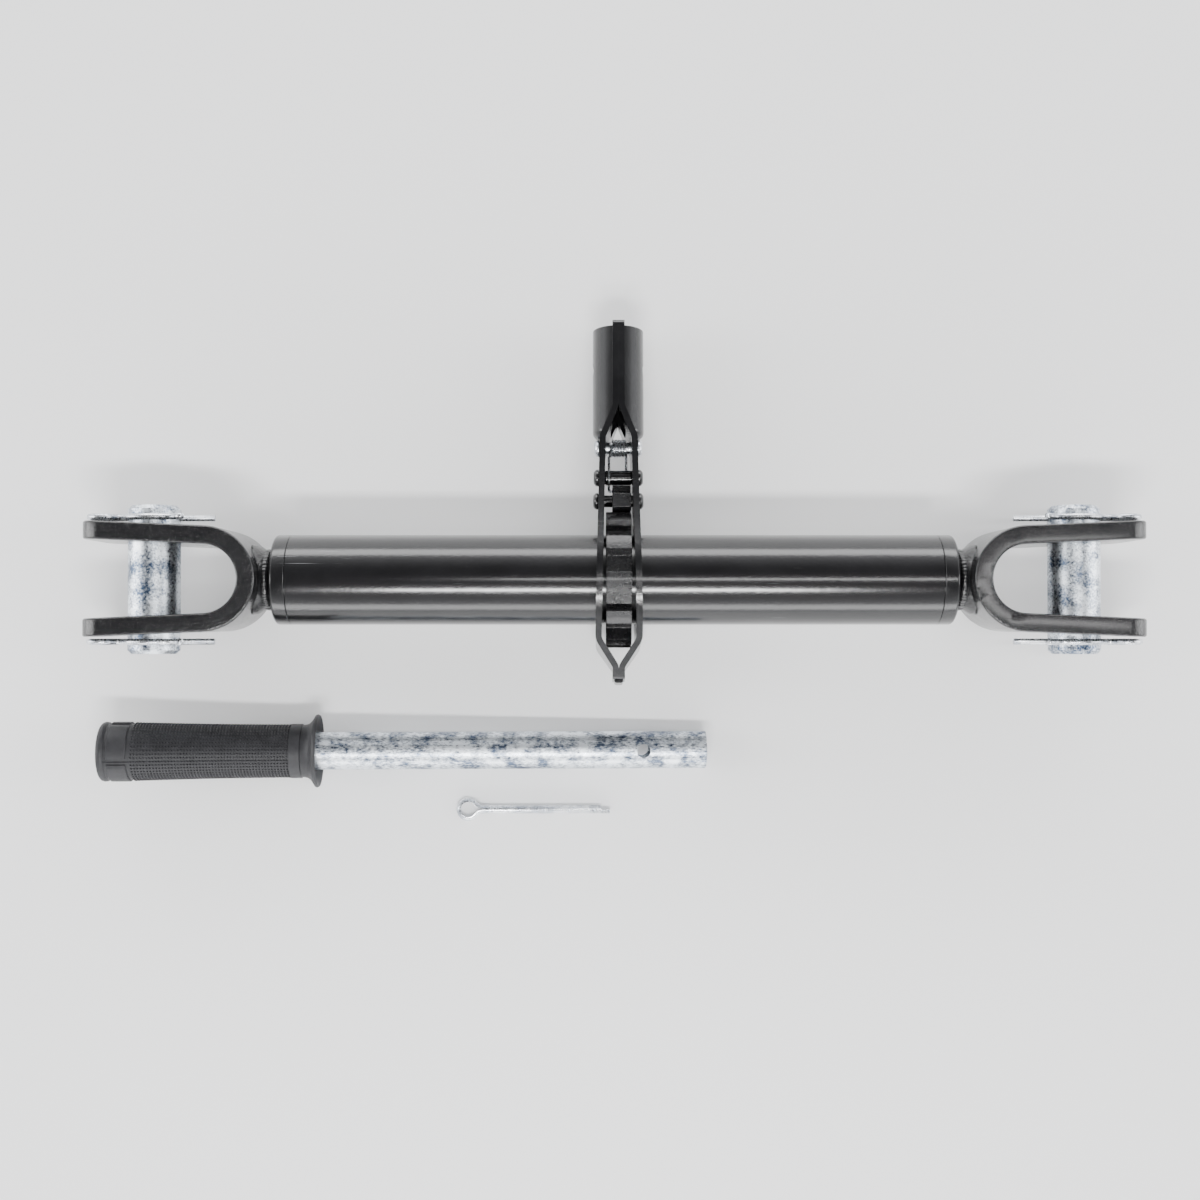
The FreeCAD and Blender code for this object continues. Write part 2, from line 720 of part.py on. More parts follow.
def rivet(label, station, face, waist=None):
    """A rivet with a low head at each side, and a thicker waist where it spaces the plates."""
    head = "rivet_head_dia / 2"
    shank = "rivet_dia / 2"
    right = [
        (f"{face} + rivet_head", "0"),
        (f"{face} + rivet_head", f"{head} - 1.4"),
        (f"{face} + rivet_head - 1.2", head),
        (face, head),
        (face, shank),
    ]
    if waist:
        shoulder = f"({face} - sheet_thick - 2 * rivet_seat)"
        right += [(shoulder, shank), (shoulder, waist)]
    left = [(f"-({along})", out) for along, out in reversed(right)]
    piece = turned(label, right + left)
    put_on_head(piece, station)


def make_rivets():
    rivet("pawl_rivet", "pawl_station", outer_face("pawl_station"))
    rivet("spacer_rivet", "spacer_station", outer_face("spacer_station"), waist="spacer_dia / 2")
    rivet("spring_rivet", "spring_station", outer_face("spring_station"))


def make_tip_weld():
    """The bead that closes the two plates' ends below the ring."""
    weld = new_body("tip_weld")
    section = new_sketch("tip_weld_section", "XY_Plane", weld)
    outline(section, [
        ("-tip_weld_width / 2", "0"),
        ("-tip_weld_width / 2", "-tip_weld_height", "tip_weld_round"),
        ("tip_weld_width / 2", "-tip_weld_height", "tip_weld_round"),
        ("tip_weld_width / 2", "0"),
    ])
    pad(weld, section, "tip_weld_length", symmetric=True)
    put_on_head(weld, "-tip_end")


def swung(radius, angle):
    """A point of an engaged toe, given round the barrel's axis, with the pawl swung back to neutral."""
    out = f"({radius} * cos({angle}) - pawl_station)"
    up = f"{radius} * sin({angle})"
    return (
        f"{out} * cos(pawl_throw_angle) + {up} * sin(pawl_throw_angle)",
        f"{up} * cos(pawl_throw_angle) - {out} * sin(pawl_throw_angle)",
    )


def make_pawl():
    """Rocking pawl on its rivet: a round boss, a toe each side and a tail that the spring holds."""
    pawl = new_body("pawl")
    boss = new_sketch("pawl_boss_view", "YZ_Plane", pawl)
    circle(boss, "pawl_boss")
    pawl_pad(pawl, boss)
    upper = [
        ("pawl_boss * 0.55", "pawl_boss * 0.6"),
        ("-pawl_boss * 0.75", "pawl_boss * 0.1"),
        swung("toe_neck", "toe_start_angle"),
        swung("toe_reach", "toe_start_angle"),
        swung("toe_reach", "toe_stop_angle"),
        swung("toe_shoulder", "toe_stop_angle"),
    ]
    lower = [(out, f"-({up})") for out, up in upper]
    for name, corners in (("upper_toe", upper), ("lower_toe", lower)):
        toe = new_sketch("pawl_" + name, "YZ_Plane", pawl)
        outline(toe, corners)
        pawl_pad(pawl, toe)
    tail = new_sketch("pawl_tail_view", "YZ_Plane", pawl)
    half = "pawl_tail_width / 2"
    outline(tail, [
        ("0", f"-{half}"),
        ("pawl_tail", f"-{half}", "pawl_corner"),
        ("pawl_tail", half, "pawl_corner"),
        ("0", half),
    ])
    pawl_pad(pawl, tail)
    holes = new_sketch("pawl_holes", "YZ_Plane", pawl)
    circle(holes, "rivet_dia / 2 + pawl_fit")
    circle(holes, "spring_hook_hole / 2", x="spring_hook")
    pocket(pawl, holes)
    put_on_head(pawl, "pawl_station")


def pawl_pad(pawl, sketch):
    feature = pawl.newObject("PartDesign::Pad", sketch.Name + "_pad")
    feature.Profile = sketch
    feature.SideType = "Two sides"
    bind(feature, Length="pawl_right", Length2="pawl_left")


def rounded_run(spots, radius):
    """Edges along straight runs, with an arc of one radius at each bend."""
    edges = []
    start = spots[0]
    for before, here, after in zip(spots, spots[1:], spots[2:]):
        back = (before - here).normalize()
        ahead = (after - here).normalize()
        half_turn = (math.pi - back.getAngle(ahead)) / 2
        first = here + back * radius * math.tan(half_turn)
        last = here + ahead * radius * math.tan(half_turn)
        inward = (back + ahead).normalize()
        centre = here + inward * radius / math.cos(half_turn)
        edges.append(Part.makeLine(start, first))
        edges.append(Part.Arc(first, centre - inward * radius, last).toShape())
        start = last
    edges.append(Part.makeLine(start, spots[-1]))
    return edges


def make_spring():
    """Torsion spring: a coil on its rivet, one leg hooked into the pawl and one behind the spacer."""
    wire = size("spring_wire")
    coil = size("spring_dia") / 2
    pitch = size("spring_pitch")
    turns = size("spring_turns")
    left = -size("spring_start")
    right = left + pitch * turns
    helix = Part.makeHelix(pitch, pitch * turns, coil)
    section = Part.Wire(Part.Circle(Vector(coil, 0, 0), Vector(0, 1, 0), wire / 2).toShape())
    coils = Part.Wire(helix.Edges).makePipeShell([section], True, True)
    # helix axis from Z to X, with its first end at the top of the coil
    turn = Rotation(Vector(0, 0, 1), Vector(0, 1, 0), Vector(1, 0, 0), "ZXY")
    coils.Placement = Placement(Vector(left, 0, 0), turn)
    reach = size("spring_station") - size("pawl_station")
    past = size("spring_station") - size("spacer_station")
    clear = size("spacer_dia") / 2 + wire
    side = -size("spring_side")
    hook = size("spring_hook")
    pawl_leg = rounded_run([
        Vector(left, 0.6, coil),
        Vector(left, -3, coil),
        Vector(side, -6, coil),
        Vector(side, -past - 2, clear),
        Vector(side, hook - reach, 0),
        Vector(side + 3.4, hook - reach, 0),
    ], wire)
    back_leg = rounded_run([
        Vector(right, -0.6, -coil),
        Vector(right, 0.4 - past, -clear),
        Vector(right - 2, -past, -clear),
    ], wire * 0.7)
    solids = [coils, round_wire(pawl_leg, wire), round_wire(back_leg, wire)]
    spring = DOC.addObject("Part::Feature", "pawl_spring")
    spring.Label = "pawl_spring"
    spring.Shape = solids[0].fuse(solids[1:])
    put_on_head(spring, "spring_station")


# ---------------------------------------------------------------- handle and cotter pin


def put_handle(piece):
    """Lay the handle down so that its flange and the end of its tube both touch the floor."""
    put(
        piece,
        x=f"{MIDDLE} + handle_end",
        y="-handle_offset",
        z=f"handle_dia / 2 * cos({HANDLE_TILT}) - ring_dia / 2",
        axis=Vector(0, 1, 0),
        angle=HANDLE_TILT,
    )


def make_handle():
    tube = new_body("handle_tube")
    ring = new_sketch("handle_ring", "YZ_Plane", tube)
    circle(ring, "handle_dia / 2")
    circle(ring, "handle_dia / 2 - handle_wall")
    bar = pad(tube, ring, "handle_length - grip_cap")
    bar.Reversed = True
    DOC.recompute()
    hole = new_sketch("handle_hole", "XY_Plane", tube)
    circle(hole, "handle_hole_dia / 2", x="-handle_hole_edge")
    pocket(tube, hole)
    put_handle(tube)

    end = "-handle_length"
    rim = f"-{GRIP_RIM}"
    grip = turned("handle_grip", [
        (end, "0"),
        (end, "grip_dia / 2 - 1.6"),
        (f"{end} + 1.2", "grip_dia / 2 + grip_bead"),
        (f"{end} + grip_bead_length - 1", "grip_dia / 2 + grip_bead"),
        (f"{end} + grip_bead_length", "grip_dia / 2"),
        (f"{end} + grip_collar_length", "grip_dia / 2"),
        (f"{rim} - flange_length - grip_band_length", "grip_waist / 2"),
        (f"{rim} - flange_length - grip_band_length + 0.4", "grip_waist / 2 + grip_bead"),
        (f"{rim} - flange_length", "grip_waist / 2 + grip_bead"),
        (f"{rim} - flange_lip", "flange_dia / 2"),
        (rim, "flange_dia / 2"),
        (f"{rim} - flange_length / 2", "handle_dia / 2 + 1.6"),
        (f"{rim} - flange_length / 2", "handle_dia / 2"),
        (f"{end} + grip_cap", "handle_dia / 2"),
        (f"{end} + grip_cap", "0"),
    ])
    put_handle(grip)


def flat_arc(centre, radius, start, stop):
    """An arc lying flat, its centre given as (x, 0, y)."""
    arc = arc_edge(centre, radius, start, stop)
    arc.rotate(Vector(), Vector(1, 0, 0), -90)
    return arc


def make_cotter():
    """Split pin: half-round wire bent double, from the long leg round the eye to the short leg."""
    half = size("cotter_wire") / 2
    slit = 0.05
    ring = size("cotter_eye_width") / 2 - half
    shoulder = size("cotter_shoulder")
    centre = Vector(half + ring, 0, 0)
    # the eye's arc and the shoulder's arc are tangent, and the shoulder runs out into the leg
    drop = shoulder + slit
    join = math.asin(drop / (ring + shoulder))
    run = math.sqrt((ring + shoulder) ** 2 - drop ** 2)
    neck = centre.x + run
    long_end = size("cotter_length")
    short_end = long_end - size("cotter_short")
    open_angle = math.degrees(join)

    edges = [
        Part.makeLine(Vector(long_end, -slit, 0), Vector(neck, -slit, 0)),
        flat_arc(Vector(neck, 0, -drop), shoulder, 90, 180 - open_angle),
        flat_arc(centre, ring, -open_angle, -360 + open_angle),
        flat_arc(Vector(neck, 0, drop), shoulder, 180 + open_angle, 270),
        Part.makeLine(Vector(neck, slit, 0), Vector(short_end, slit, 0)),
    ]
    start = Vector(long_end, -slit, 0)
    low = start + Vector(0, 0, -half)
    high = start + Vector(0, 0, half)
    bulge = Part.Arc(low, start + Vector(0, -half, 0), high).toShape()
    section = Part.Wire([bulge, Part.makeLine(high, low)])
    cotter = DOC.addObject("Part::Feature", "handle_cotter_pin")
    cotter.Label = "handle_cotter_pin"
    cotter.Shape = Part.Wire(edges).makePipeShell([section], True, False)
    put(
        cotter,
        x=f"{MIDDLE} - cotter_start",
        y="-cotter_offset",
        z="cotter_wire / 2 - ring_dia / 2",
    )


# ---------------------------------------------------------------- build, check and write

NODES = [
    "barrel_tube", "left_end_nut", "right_end_nut", "ratchet_gear",
    "left_rod", "left_weld", "left_clevis", "left_clevis_pin", "left_upper_clip", "left_lower_clip",
    "right_rod", "right_weld", "right_clevis", "right_clevis_pin", "right_upper_clip", "right_lower_clip",
    "head_half_left", "head_half_right", "pawl_rivet", "spacer_rivet", "spring_rivet", "tip_weld",
    "pawl", "pawl_spring",
    "handle_tube", "handle_grip", "handle_cotter_pin",
]


def fill_sheet():
    for row, (alias, value) in enumerate(SIZES.items(), 1):
        SHEET.set(f"A{row}", alias)
        SHEET.set(f"B{row}", str(value))
        SHEET.setAlias(f"B{row}", alias)
    DOC.recompute()


def write_parts():
    """Refuse a failed object or shape, then write one STEP file for each sub-part."""
    for thing in DOC.Objects:
        if {"Invalid", "Error"} & set(thing.State):
            raise RuntimeError(f"{thing.Name} failed: {thing.State}")
    os.makedirs("parts", exist_ok=True)
    for node in NODES:
        shape = DOC.getObjectsByLabel(node)[0].Shape
        if shape.isNull() or not shape.isValid():
            raise RuntimeError(f"{node} has no valid shape")
        shape.exportStep(f"parts/{node}.step")


fill_sheet()
make_barrel()
make_gear()
for end in ("left", "right"):
    make_clevis(end)
    make_rod(end)
    make_pin(end)
    make_clips(end)
make_head_halves()
make_rivets()
make_tip_weld()
make_pawl()
make_spring()
make_handle()
make_cotter()
DOC.recompute()
write_parts()
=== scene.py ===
"""Looks of a ratchet top link: glossy black paint, zinc-plated pins and handle, and a knurled grip.

Each class below dresses one sub-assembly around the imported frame. Lengths are in metres.
"""

import logging
import math
from dataclasses import dataclass, field
from enum import Enum

import bmesh
import bpy
import numpy as np
from mathutils import Matrix, Vector


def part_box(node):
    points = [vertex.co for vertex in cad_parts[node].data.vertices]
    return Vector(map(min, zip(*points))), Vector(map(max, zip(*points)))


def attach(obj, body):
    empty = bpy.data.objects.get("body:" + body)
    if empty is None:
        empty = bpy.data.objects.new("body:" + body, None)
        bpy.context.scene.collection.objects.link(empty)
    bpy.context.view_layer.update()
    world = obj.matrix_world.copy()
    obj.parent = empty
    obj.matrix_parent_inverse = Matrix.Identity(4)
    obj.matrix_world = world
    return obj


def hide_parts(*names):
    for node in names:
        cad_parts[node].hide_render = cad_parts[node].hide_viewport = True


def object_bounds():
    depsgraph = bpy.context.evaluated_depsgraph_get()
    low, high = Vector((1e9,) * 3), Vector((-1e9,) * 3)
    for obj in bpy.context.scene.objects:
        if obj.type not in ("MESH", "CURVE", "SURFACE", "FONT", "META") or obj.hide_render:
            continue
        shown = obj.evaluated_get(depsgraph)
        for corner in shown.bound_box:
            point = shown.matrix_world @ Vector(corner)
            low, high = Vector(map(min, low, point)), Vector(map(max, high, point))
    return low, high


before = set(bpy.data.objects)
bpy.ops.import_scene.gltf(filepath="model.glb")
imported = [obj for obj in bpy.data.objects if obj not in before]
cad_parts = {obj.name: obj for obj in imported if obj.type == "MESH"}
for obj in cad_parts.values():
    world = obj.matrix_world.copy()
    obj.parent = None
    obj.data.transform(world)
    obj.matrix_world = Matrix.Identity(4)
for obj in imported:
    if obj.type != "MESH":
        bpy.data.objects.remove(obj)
CAD_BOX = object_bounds()

MM = 0.001
LOG = logging.getLogger("top_link")


class Side(Enum):
    """One end of the link, with the way it points away from the barrel."""

    LEFT = -1
    RIGHT = 1

    @property
    def word(self) -> str:
        """The side's name in the frame's nodes."""
        return self.name.lower()


# ---------------------------------------------------------------- finishes


class Shader:
    """A material's nodes, added one at a time and linked by socket name."""

    def __init__(self, name: str) -> None:
        """Start a material with a Principled surface."""
        self.material = bpy.data.materials.new(name)
        self.material.use_nodes = True
        self.tree = self.material.node_tree
        self.surface = self.tree.nodes["Principled BSDF"]

    def node(self, kind: str, inputs: dict | None = None, **settings: object) -> bpy.types.Node:
        """Add a node.

        Args:
            kind: The node's type, without the ShaderNode prefix.
            inputs: Socket name or number to a value, or to another node's output to link.
            settings: Properties of the node itself.

        Returns:
            The new node.
        """
        made = self.tree.nodes.new("ShaderNode" + kind)
        for key, value in settings.items():
            setattr(made, key, value)
        for key, value in (inputs or {}).items():
            self.feed(made, key, value)
        return made

    def feed(self, node: bpy.types.Node, key: str | int, value: object) -> None:
        """Set an input to a value, or link an output to it."""
        if isinstance(value, bpy.types.NodeSocket):
            self.tree.links.new(value, node.inputs[key])
        else:
            node.inputs[key].default_value = value

    def noise(self, size: float, stretch: tuple = (1, 1, 1), detail: float = 3.0, rough: float = 0.55):
        """Noise on object coordinates whose blotches are about a size across.

        Args:
            size: Width of a blotch.
            stretch: How many times longer the blotches are along each axis.
            detail: Levels of finer noise.
            rough: Share of the finer levels.

        Returns:
            The noise's 0 to 1 output.
        """
        where = self.node("TexCoord").outputs["Object"]
        scale = tuple(1 / (size * s) for s in stretch)
        mapped = self.node("Mapping", {"Vector": where, "Scale": scale}).outputs[0]
        made = self.node("TexNoise", {"Vector": mapped, "Scale": 1.0, "Detail": detail, "Roughness": rough})
        return made.outputs["Fac"]

    def ramp(self, factor, *stops: tuple) -> bpy.types.NodeSocket:
        """Colours along a 0 to 1 factor, from (place, colour) stops."""
        made = self.node("ValToRGB", {"Fac": factor})
        band = made.color_ramp.elements
        while len(band) < len(stops):
            band.new(0.5)
        for element, (place, colour) in zip(band, stops):
            element.position = place
            element.color = (*colour, 1)
        return made.outputs["Color"]

    def span(self, factor, low: float, high: float, start: float = 0.0, stop: float = 1.0):
        """A factor's part from start to stop, spread between two values."""
        made = self.node(
            "MapRange",
            {"Value": factor, "From Min": start, "From Max": stop, "To Min": low, "To Max": high},
        )
        return made.outputs["Result"]

    def bump(self, height, depth: float, strength: float = 1.0, under=None) -> bpy.types.NodeSocket:
        """A bumped normal from a height of 0 to 1 and a depth, laid over another bump."""
        inputs = {"Height": height, "Distance": depth, "Strength": strength}
        if under is not None:
            inputs["Normal"] = under
        return self.node("Bump", inputs).outputs["Normal"]

    def finish(self, **inputs: object) -> bpy.types.Material:
        """Set the surface's inputs, with underscores for spaces, and hand over the material."""
        for key, value in inputs.items():
            self.feed(self.surface, key.replace("_", " "), value)
        return self.material


@dataclass(frozen=True)
class BlackPaint:
    """Glossy black enamel over steel, with the steel's unevenness showing through."""

    name: str
    grain: float = 1.3 * MM
    depth: float = 0.10 * MM
    gloss: float = 0.16
    scuffs: float = 0.0
    tone: float = 0.0045

    def make(self) -> bpy.types.Material:
        """Build the material."""
        shader = Shader(self.name)
        coarse = shader.noise(self.grain, detail=2.0)
        fine = shader.noise(self.grain * 0.35, detail=1.5)
        slow = shader.noise(9 * MM, detail=2.0)
        normal = shader.bump(slow, self.depth * 1.5)
        normal = shader.bump(coarse, self.depth, under=normal)
        normal = shader.bump(fine, self.depth * 0.35, under=normal)
        dust = shader.noise(22 * MM, detail=5.0, rough=0.7)
        black = (self.tone, self.tone, self.tone * 1.12)
        haze = (self.tone * 2.1, self.tone * 2.1, self.tone * 2.3)
        colour = shader.ramp(dust, (0.35, black), (0.8, haze))
        roughness = shader.span(dust, self.gloss, self.gloss + 0.16, 0.3, 0.75)
        if self.scuffs:
            colour, roughness = self.scuffed(shader, colour, roughness)
        return shader.finish(
            Base_Color=colour, Roughness=roughness, Normal=normal, Specular_IOR_Level=0.5, Coat_Weight=0.35,
            Coat_Roughness=0.12,
        )

    def scuffed(self, shader: Shader, colour, roughness) -> tuple:
        """Add thin grey scratches along the barrel and a few rubbed patches.

        Args:
            shader: The material under way.
            colour: Its colour so far.
            roughness: Its roughness so far.

        Returns:
            The new colour and roughness.
        """
        line = shader.noise(0.55 * MM, stretch=(55, 1, 1), detail=1.0)
        patch = shader.noise(26 * MM, stretch=(1.4, 1, 1), detail=3.0)
        thin = shader.span(line, 0.0, 1.0, 0.70, 0.76)
        where = shader.span(patch, 0.0, self.scuffs, 0.56, 0.66)
        amount = shader.node("Math", {0: thin, 1: where}, operation="MULTIPLY").outputs[0]
        mix = shader.node("Mix", {0: amount}, data_type="RGBA")
        shader.feed(mix, 6, colour)
        shader.feed(mix, 7, (0.20, 0.20, 0.21, 1))
        return mix.outputs[2], shader.span(amount, 0.2, 0.5)


@dataclass(frozen=True)
class Zinc:
    """Bright zinc plate with a mottled, faintly blue spangle."""

    name: str
    spangle: float = 1.1 * MM
    stretch: tuple = (1, 1, 1)
    dark: tuple = (0.07, 0.10, 0.16)
    light: tuple = (0.90, 0.95, 1.0)
    shine: float = 0.27

    def make(self) -> bpy.types.Material:
        """Build the material."""
        shader = Shader(self.name)
        blotch = shader.noise(self.spangle, self.stretch, detail=3.5, rough=0.65)
        cloud = shader.noise(self.spangle * 9, detail=2.0)
        both = shader.node("Math", {0: blotch, 1: cloud}, operation="ADD").outputs[0]
        middle = tuple((a + b) / 2 for a, b in zip(self.dark, self.light))
        colour = shader.ramp(
            shader.span(both, 0.0, 1.0, 0.80, 1.22), (0.0, self.dark), (0.45, middle), (0.8, self.light)
        )
        roughness = shader.span(blotch, self.shine, self.shine + 0.22, 0.35, 0.7)
        normal = shader.bump(blotch, 0.05 * MM)
        return shader.finish(Base_Color=colour, Metallic=1.0, Roughness=roughness, Normal=normal)


@dataclass(frozen=True)
class Rubber:
    """Soft black moulded rubber."""

    name: str

    def make(self) -> bpy.types.Material:
        """Build the material."""
        shader = Shader(self.name)
        dust = shader.noise(5 * MM, detail=5.0, rough=0.7)
        colour = shader.ramp(dust, (0.3, (0.012, 0.012, 0.014)), (0.85, (0.030, 0.030, 0.034)))
        normal = shader.bump(shader.noise(0.5 * MM), 0.04 * MM)
        return shader.finish(
            Base_Color=colour, Roughness=shader.span(dust, 0.42, 0.62), Normal=normal, Specular_IOR_Level=0.45
        )


class Finishes:
    """Every finish of the link, made once."""

    def __init__(self) -> None:
        """Build the materials."""
        self.barrel = BlackPaint(
            "barrel_enamel", grain=1.6 * MM, depth=0.045 * MM, gloss=0.2, scuffs=0.9
        ).make()
        self.strap = BlackPaint("strap_enamel", grain=1.3 * MM, depth=0.30 * MM, gloss=0.14).make()
        self.sheet = BlackPaint("sheet_enamel", grain=1.5 * MM, depth=0.10 * MM, gloss=0.15).make()
        self.cast = BlackPaint(
            "cast_enamel", grain=1.0 * MM, depth=0.30 * MM, gloss=0.2, tone=0.008
        ).make()
        self.screw = BlackPaint(
            "screw_enamel", grain=0.9 * MM, depth=0.08 * MM, gloss=0.22, tone=0.006
        ).make()
        self.pin = Zinc("pin_zinc").make()
        self.tube = Zinc("tube_zinc", spangle=0.9 * MM, stretch=(2.2, 1, 1), dark=(0.10, 0.13, 0.19)).make()
        self.wire = Zinc(
            "wire_zinc", spangle=0.8 * MM, dark=(0.42, 0.45, 0.50), light=(0.92, 0.94, 0.96), shine=0.2
        ).make()
        self.rubber = Rubber("grip_rubber").make()


# ---------------------------------------------------------------- meshes


def piece(name: str, mesh: bpy.types.Mesh, material: bpy.types.Material) -> bpy.types.Object:
    """An object for a finished mesh, in one material."""
    made = bpy.data.objects.new(name, mesh)
    bpy.context.scene.collection.objects.link(made)
    mesh.materials.clear()
    mesh.materials.append(material)
    return made


def baked(source: bpy.types.Object, name: str, material: bpy.types.Material) -> bpy.types.Object:
    """A plain mesh object of another object's shape with its modifiers on, in place of it."""
    seen = source.evaluated_get(bpy.context.evaluated_depsgraph_get())
    mesh = bpy.data.meshes.new_from_object(seen)
    bpy.data.objects.remove(source)
    return piece(name, mesh, material)


def smooth(thing: bpy.types.Object, angle: float = 35) -> bpy.types.Object:
    """Shade an object smooth, with the edges past an angle left sharp."""
    thing.data.shade_smooth()
    thing.data.set_sharp_from_angle(angle=math.radians(angle))
    return thing


def turned(
    name: str, profile: list, material: bpy.types.Material, around: int = 160, closed: bool = False
) -> bpy.types.Object:
    """A piece turned about X.

    Args:
        name: The piece's name.
        profile: (along, radius) points in order.
        material: Its finish.
        around: Faces round it.
        closed: Join the last point to the first, for a piece with a bore.

    Returns:
        The new object.
    """
    angles = np.linspace(0, 2 * math.pi, around, endpoint=False)
    rings = [
        np.column_stack([np.full(around, along), radius * np.cos(angles), radius * np.sin(angles)])
        for along, radius in profile
    ]
    faces = []
    for ring in range(len(profile) if closed else len(profile) - 1):
        ahead = (ring + 1) % len(profile)
        for step in range(around):
            beside = (step + 1) % around
            faces.append(
                (ring * around + step, ring * around + beside, ahead * around + beside, ahead * around + step)
            )
    mesh = bpy.data.meshes.new(name)
    mesh.from_pydata(np.vstack(rings).tolist(), [], faces)
    tidy(mesh)
    return smooth(piece(name, mesh, material))


def tidy(mesh: bpy.types.Mesh, flat: bool = False) -> None:
    """Merge doubles, drop the empty faces they leave and turn every face outwards."""
    work = bmesh.new()
    work.from_mesh(mesh)
    bmesh.ops.remove_doubles(work, verts=work.verts, dist=1e-6)
    bmesh.ops.dissolve_degenerate(work, edges=work.edges, dist=1e-7)
    if flat:
        bmesh.ops.dissolve_limit(work, angle_limit=math.radians(0.6), verts=work.verts, edges=work.edges)
    bmesh.ops.recalc_face_normals(work, faces=work.faces)
    work.to_mesh(mesh)
    work.free()


def placed(thing: bpy.types.Object, where: Matrix) -> bpy.types.Object:
    """Move an object's mesh, which leaves the object itself at the origin."""
    thing.data.transform(where)
    thing.data.update()
    return thing


def joined(name: str, things: list) -> bpy.types.Object:
    """One object from several, with each one's own material kept."""
    work = bmesh.new()
    materials = []
    for thing in things:
        start = len(work.faces)
        work.from_mesh(thing.data)
        work.faces.ensure_lookup_table()
        for face in work.faces[start:]:
            own = thing.data.materials[face.material_index]
            if own not in materials:
                materials.append(own)
            face.material_index = materials.index(own)
    mesh = bpy.data.meshes.new(name)
    work.to_mesh(mesh)
    work.free()
    for thing in things:
        bpy.data.objects.remove(thing)
    made = bpy.data.objects.new(name, mesh)
    bpy.context.scene.collection.objects.link(made)
    for material in materials:
        mesh.materials.append(material)
    return made


def soft_copy(
    node: str, name: str, material: bpy.types.Material, edge: float = 0.0, steps: int = 2
) -> bpy.types.Object:
    """A frame node's shape with its loose triangles merged and its sharp edges rounded.

    Args:
        node: The node to copy.
        name: The new piece's name.
        material: Its finish.
        edge: Radius of the rounding, or 0 for none.
        steps: Faces across each rounding.

    Returns:
        The new object.
    """
    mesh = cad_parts[node].data.copy()
    mesh.name = name
    tidy(mesh, flat=edge > 0)
    made = smooth(piece(name, mesh, material))
    if not edge:
        return made
    bevel = made.modifiers.new("edges", "BEVEL")
    bevel.width = edge
    bevel.segments = steps
    bevel.limit_method = "ANGLE"
    bevel.angle_limit = math.radians(40)
    bevel.use_clamp_overlap = True
    weights = made.modifiers.new("normals", "WEIGHTED_NORMAL")
    weights.keep_sharp = True
    return baked(made, name, material)


def fitted(thing: bpy.types.Object, body: str, slot: str, *nodes: str) -> bpy.types.Object:
    """Hand a finished piece to the frame: its body and the nodes it stands for."""
    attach(thing, body)
    if nodes:
        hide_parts(*nodes)
    LOG.info("%s rides on %s", thing.name, body)
    return thing


class GeometryTree:
    """A Geometry Nodes tree with named sizes, grown into a plain mesh."""

    def __init__(self, name: str) -> None:
        """Start an empty tree with a geometry output."""
        self.tree = bpy.data.node_groups.new(name, "GeometryNodeTree")
        self.tree.interface.new_socket("Geometry", in_out="OUTPUT", socket_type="NodeSocketGeometry")
        self.entry = self.tree.nodes.new("NodeGroupInput")
        self.exit = self.tree.nodes.new("NodeGroupOutput")
        self.sizes = {}
        self.sockets = {}

    def size(self, name: str, value: float | int) -> bpy.types.NodeSocket:
        """Add a named input and give back its output in the tree."""
        kind = "NodeSocketInt" if isinstance(value, int) else "NodeSocketFloat"
        socket = self.tree.interface.new_socket(name, in_out="INPUT", socket_type=kind)
        socket.default_value = value
        self.sizes[name] = value
        self.sockets[name] = socket.identifier
        return self.entry.outputs[name]

    def node(self, kind: str, inputs: dict | None = None, **settings: object) -> bpy.types.Node:
        """Add a node.

        Args:
            kind: The node's full type.
            inputs: Socket name or number to a value, or to another node's output to link.
            settings: Properties of the node itself.

        Returns:
            The new node.
        """
        made = self.tree.nodes.new(kind)
        for key, value in settings.items():
            setattr(made, key, value)
        for key, value in (inputs or {}).items():
            if isinstance(value, bpy.types.NodeSocket):
                self.tree.links.new(value, made.inputs[key])
            else:
                made.inputs[key].default_value = value
        return made

    def math(self, operation: str, *values: object) -> bpy.types.NodeSocket:
        """One step of arithmetic on sockets and numbers."""
        return self.node("ShaderNodeMath", dict(enumerate(values)), operation=operation).outputs[0]

    def grow(self, name: str, shape: bpy.types.NodeSocket, material: bpy.types.Material) -> bpy.types.Object:
        """Close the tree and turn what it makes into a plain mesh object.

        Args:
            name: The piece's name.
            shape: The geometry to put out.
            material: Its finish, set inside the tree.

        Returns:
            The new object.
        """
        real = self.node("GeometryNodeRealizeInstances", {"Geometry": shape})
        coated = self.node("GeometryNodeSetMaterial", {"Geometry": real.outputs[0], "Material": material})
        self.tree.links.new(coated.outputs[0], self.exit.inputs[0])
        host = bpy.data.objects.new(name + "_host", bpy.data.meshes.new(name + "_host"))
        bpy.context.scene.collection.objects.link(host)
        modifier = host.modifiers.new("grow", "NODES")
        modifier.node_group = self.tree
        for label, value in self.sizes.items():
            modifier[self.sockets[label]] = value
        return baked(host, name, material)


# ---------------------------------------------------------------- barrel and screws


